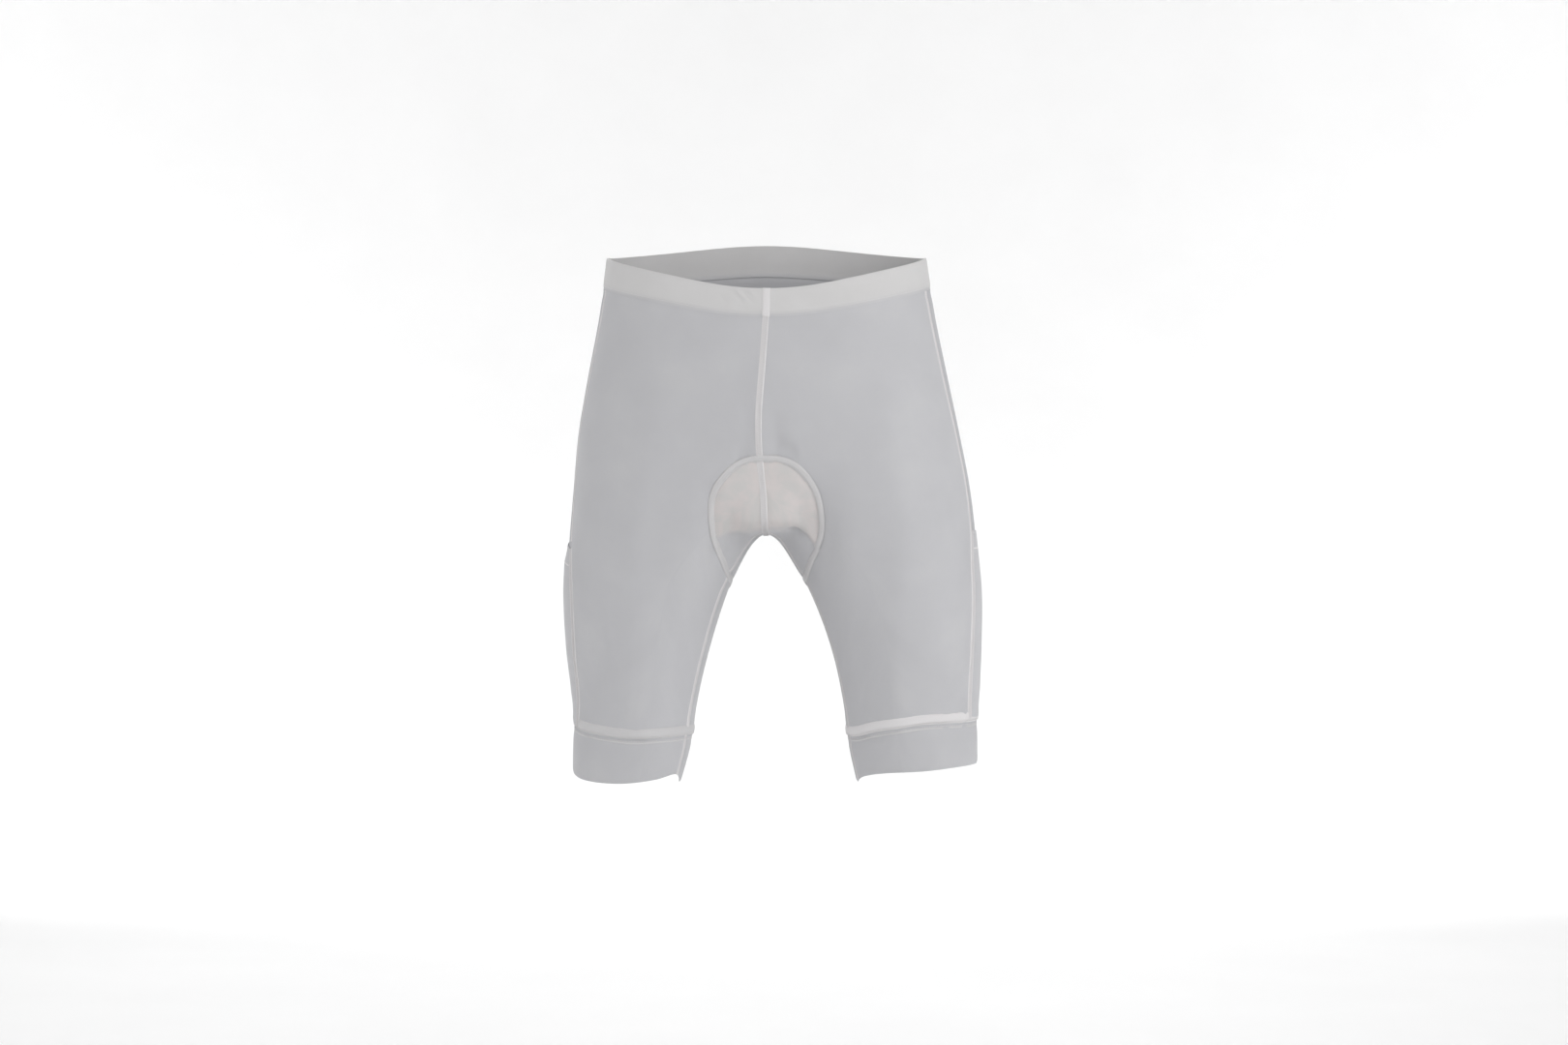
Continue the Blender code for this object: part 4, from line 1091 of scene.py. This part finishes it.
for s in "rl":
    nm = NAMES[s]
    for edge, col, way in (("front", K_SF, 1), ("back", K_SB, -1)):
        p, n = grid_path(s, slice(R_BAND, R_POCKET + 2), col)
        seam(f"{edge}_side_seam_{nm}", p, n, s)
        q, m, d, _ = POCKET_GRID[s]
        k, near = (0, 3) if way > 0 else (N_SIDE, N_SIDE - 3)
        seam(f"pocket_{edge}_edge_{nm}", q[:, k], m[:, k], s, POCKET_EDGE, 1.8, 1.66, toward=(q[:, near] - q[:, k]).mean(0))
    p, n = grid_path(s, slice(R_FORK, R_CUFF + 1), 0)
    seam("inseam_" + nm, p, n, s, FLATLOCK, 2.2, 0.58)
    # cuff: its seam all round, and the short one on its inner side
    p, n = grid_path(s, R_CUFF, slice(0, COLS))
    # painted shade: the right leg's cuff seam is made in the darker rim tape, so it looks less lit than the left
    # leg's
    seam("cuff_seam_" + nm, p, n, s, HEM_ROLL, 1.6, 1.0, mat=RIMM if s == "r" else SEAMM, toward=(0, 0, 1))
    up = np.sign((np.cross(n, np.gradient(p, axis=0))[:, 2]).mean())
    THREADS[s].append(dashes(p, n, -5.2 * up, 0.10))
    # a cover-stitched ridge a little lower round the cuff
    q, m = even_path(p + frames_along(p, n)[1] * (-7.0 * up) + n * (CUFF_LIFT - 0.55), n, 2.0)
    TAPES["cuff_stitch_line_" + nm] = strip("cuff_stitch_line_" + nm, q, m, LINE, RIMM)
    p, n = grid_path(s, slice(R_CUFF, R_END + 1), 0)
    seam("cuff_closing_" + nm, p, n * 1.0, s)
    # pocket mouth: a hem with a row of stitches
    q, m, d, stand = POCKET_GRID[s]
    for off in (2.2, 18.5):
        r = np.array([int(np.argmin(np.abs(d[:, k] - off))) for k in range(N_SIDE + 1)])
        k = np.arange(N_SIDE + 1)
        f = (off - d[r, k]) / np.maximum(d[np.minimum(r + 1, len(d) - 1), k] - d[r, k], 1e-6)
        line = q[r, k] + (q[np.minimum(r + 1, len(q) - 1), k] - q[r, k]) * f[:, None]
        line = line + m[r, k] * (GAP + POCKET - 0.1 + stand[r, k])[:, None]
        a, b = even_path(line[1:-1], m[r, k][1:-1], 1.6)
        if off > 10:
            TAPES["pocket_hem_" + nm] = strip("pocket_hem_" + nm, a, b, [(-1.0, -0.15), (-0.5, 0.20), (0.0, 0.28), (0.5, 0.20), (1.0, -0.15)], SEAMM)
        THREADS[s].append(dashes(a, b, 0.0, 0.30 if off > 10 else 0.05))

# waistband: its ends overlap at the centre front, and its lower edge is stitched
a, b = even_path(BAND_P[:, 0] + BAND_N[:, 0] * (BAND_LIFT + 0.15), BAND_N[:, 0], 1.5)
TAPES["waistband_closing"] = strip("waistband_closing", a, b, CLOSING, SEAMM, toward=(1, 0, 0))
THREADS["m"].append(dashes(a, b, -2.6, 0.75))
lower = BAND_P[R_BAND - 2] + BAND_N[R_BAND - 2] * (BAND_LIFT + 0.1)
THREADS["m"].append(dashes(lower, BAND_N[R_BAND - 2], 0.0, 0.08, radius=0.14))

# the pad's edge, sewn through the cloth
inward = (PADG[N_PAD_LONG // 2, N_PAD_HALF] - RIMP)
TAPES["pad_rim"] = strip("pad_rim", RIMP, RIMN, RIM, RIMM, closed=True, toward=inward)
loop_p, loop_n = np.concatenate([RIMP, RIMP[:1]]), np.concatenate([RIMN, RIMN[:1]])
bin_dir = frames_along(loop_p, loop_n)[1]
turn = np.sign((bin_dir[:-1] * inward).sum())
THREADS["m"].append(dashes(loop_p, loop_n, 2.1 * turn, -0.16))
THREADS["m"].append(dashes(loop_p, loop_n, -2.8 * turn, 0.60))

for who, label in (("r", "right"), ("l", "left"), ("m", "middle")):
    thread_piece("stitches_" + label, THREADS[who])

for s in "rl":
    nm = NAMES[s]

# ================================================================ floor, backdrop and light
def stage_material():
    mat, nt, bsdf = nodes_of("paper")
    tc = nt.nodes.new("ShaderNodeTexCoord")
    f = noise(nt, tc.outputs["Object"], 3.0, 3.0)
    ramp = nt.nodes.new("ShaderNodeValToRGB")
    ramp.color_ramp.elements[0].color = (0.90, 0.90, 0.90, 1)
    ramp.color_ramp.elements[1].color = (0.94, 0.94, 0.94, 1)
    nt.links.new(f, ramp.inputs[0])
    nt.links.new(ramp.outputs[0], bsdf.inputs["Base Color"])
    bsdf.inputs["Roughness"].default_value = 0.95
    bsdf.inputs["Specular IOR Level"].default_value = 0.1
    return mat


def sweep():
    """A round floor of pale paper that turns up into a wall far behind, the same from any side."""
    prof = [(5.0 * i / 12, FLOOR_Z) for i in range(13)]
    prof += [(5.0 + 3.0 * math.sin(a), FLOOR_Z + 3.0 * (1 - math.cos(a)))
             for a in np.linspace(0, math.pi / 2, 13)[1:]]
    prof += [(8.0, FLOOR_Z + 3.0 + h) for h in (0.8, 1.6)]
    seg = 96
    verts, faces = [], []
    for r, z in prof:
        for j in range(seg):
            a = 2 * math.pi * j / seg
            verts.append((max(r, 0.01) * math.cos(a), max(r, 0.01) * math.sin(a), z))
    for i in range(len(prof) - 1):
        for j in range(seg):
            j2 = (j + 1) % seg
            faces.append((i * seg + j, (i + 1) * seg + j, (i + 1) * seg + j2, i * seg + j2))
    faces.append(tuple(range(seg)))
    me = bpy.data.meshes.new("floor")
    me.from_pydata(verts, [], faces)
    me.shade_smooth()
    me.materials.append(stage_material())
    ob = bpy.data.objects.new("floor", me)
    bpy.context.scene.collection.objects.link(ob)


FLOOR_Z = -1.05
sweep()

world = bpy.data.worlds.new("studio")
bpy.context.scene.world = world
world.use_nodes = True
bg = world.node_tree.nodes["Background"]
bg.inputs["Color"].default_value = (1, 1, 1, 1)
bg.inputs["Strength"].default_value = 0.28


def area_light(name, at, look, size, power, colour=(1, 1, 1)):
    d = bpy.data.lights.new(name, "AREA")
    d.shape = "RECTANGLE"
    d.size, d.size_y = size
    d.energy = power
    d.color = colour
    ob = bpy.data.objects.new(name, d)
    ob.location = at
    ob.rotation_euler = (Vector(look) - Vector(at)).to_track_quat("-Z", "Y").to_euler()
    ob.visible_camera = False
    bpy.context.scene.collection.objects.link(ob)


LIGHT_COLUMNS = ("name", "at", "look", "size", "power")
LIGHTS = [
    ("soft_right", (2.9, -1.9, 0.5), (0, 0, -0.28), (1.4, 2.0), 10),
    ("soft_left", (-3.3, -0.8, 0.3), (0, 0, -0.28), (1.4, 2.0), 15),
    ("near_right", (1.3, -1.3, 0.0), (0, 0, -0.28), (0.7, 1.2), 6),
    ("side_right", (2.0, -0.6, 0.0), (0, 0, -0.28), (0.8, 1.4), 5),
    ("side_left", (-2.0, -0.6, 0.0), (0, 0, -0.28), (0.8, 1.4), 5),
    ("front", (0.5, -3.6, 1.2), (0, 0, -0.28), (1.4, 1.0), 17),
    ("above", (0.2, -1.4, 1.6), (0, 0, -0.28), (1.2, 0.8), 10),
    ("floor", (0.0, 2.5, 2.4), (0.0, 2.6, -1.05), (4.5, 2.2), 100),
    ("wall_right", (3.0, 3.6, 0.8), (1.5, 8.0, 0.0), (2.0, 2.0), 72),
    ("wall_left", (-3.0, 3.6, 0.8), (-1.5, 8.0, 0.0), (2.0, 2.0), 72),
]
for row in LIGHTS:
    area_light(*row)

scene = bpy.context.scene
scene.view_settings.view_transform = "Standard"
scene.view_settings.look = "None"
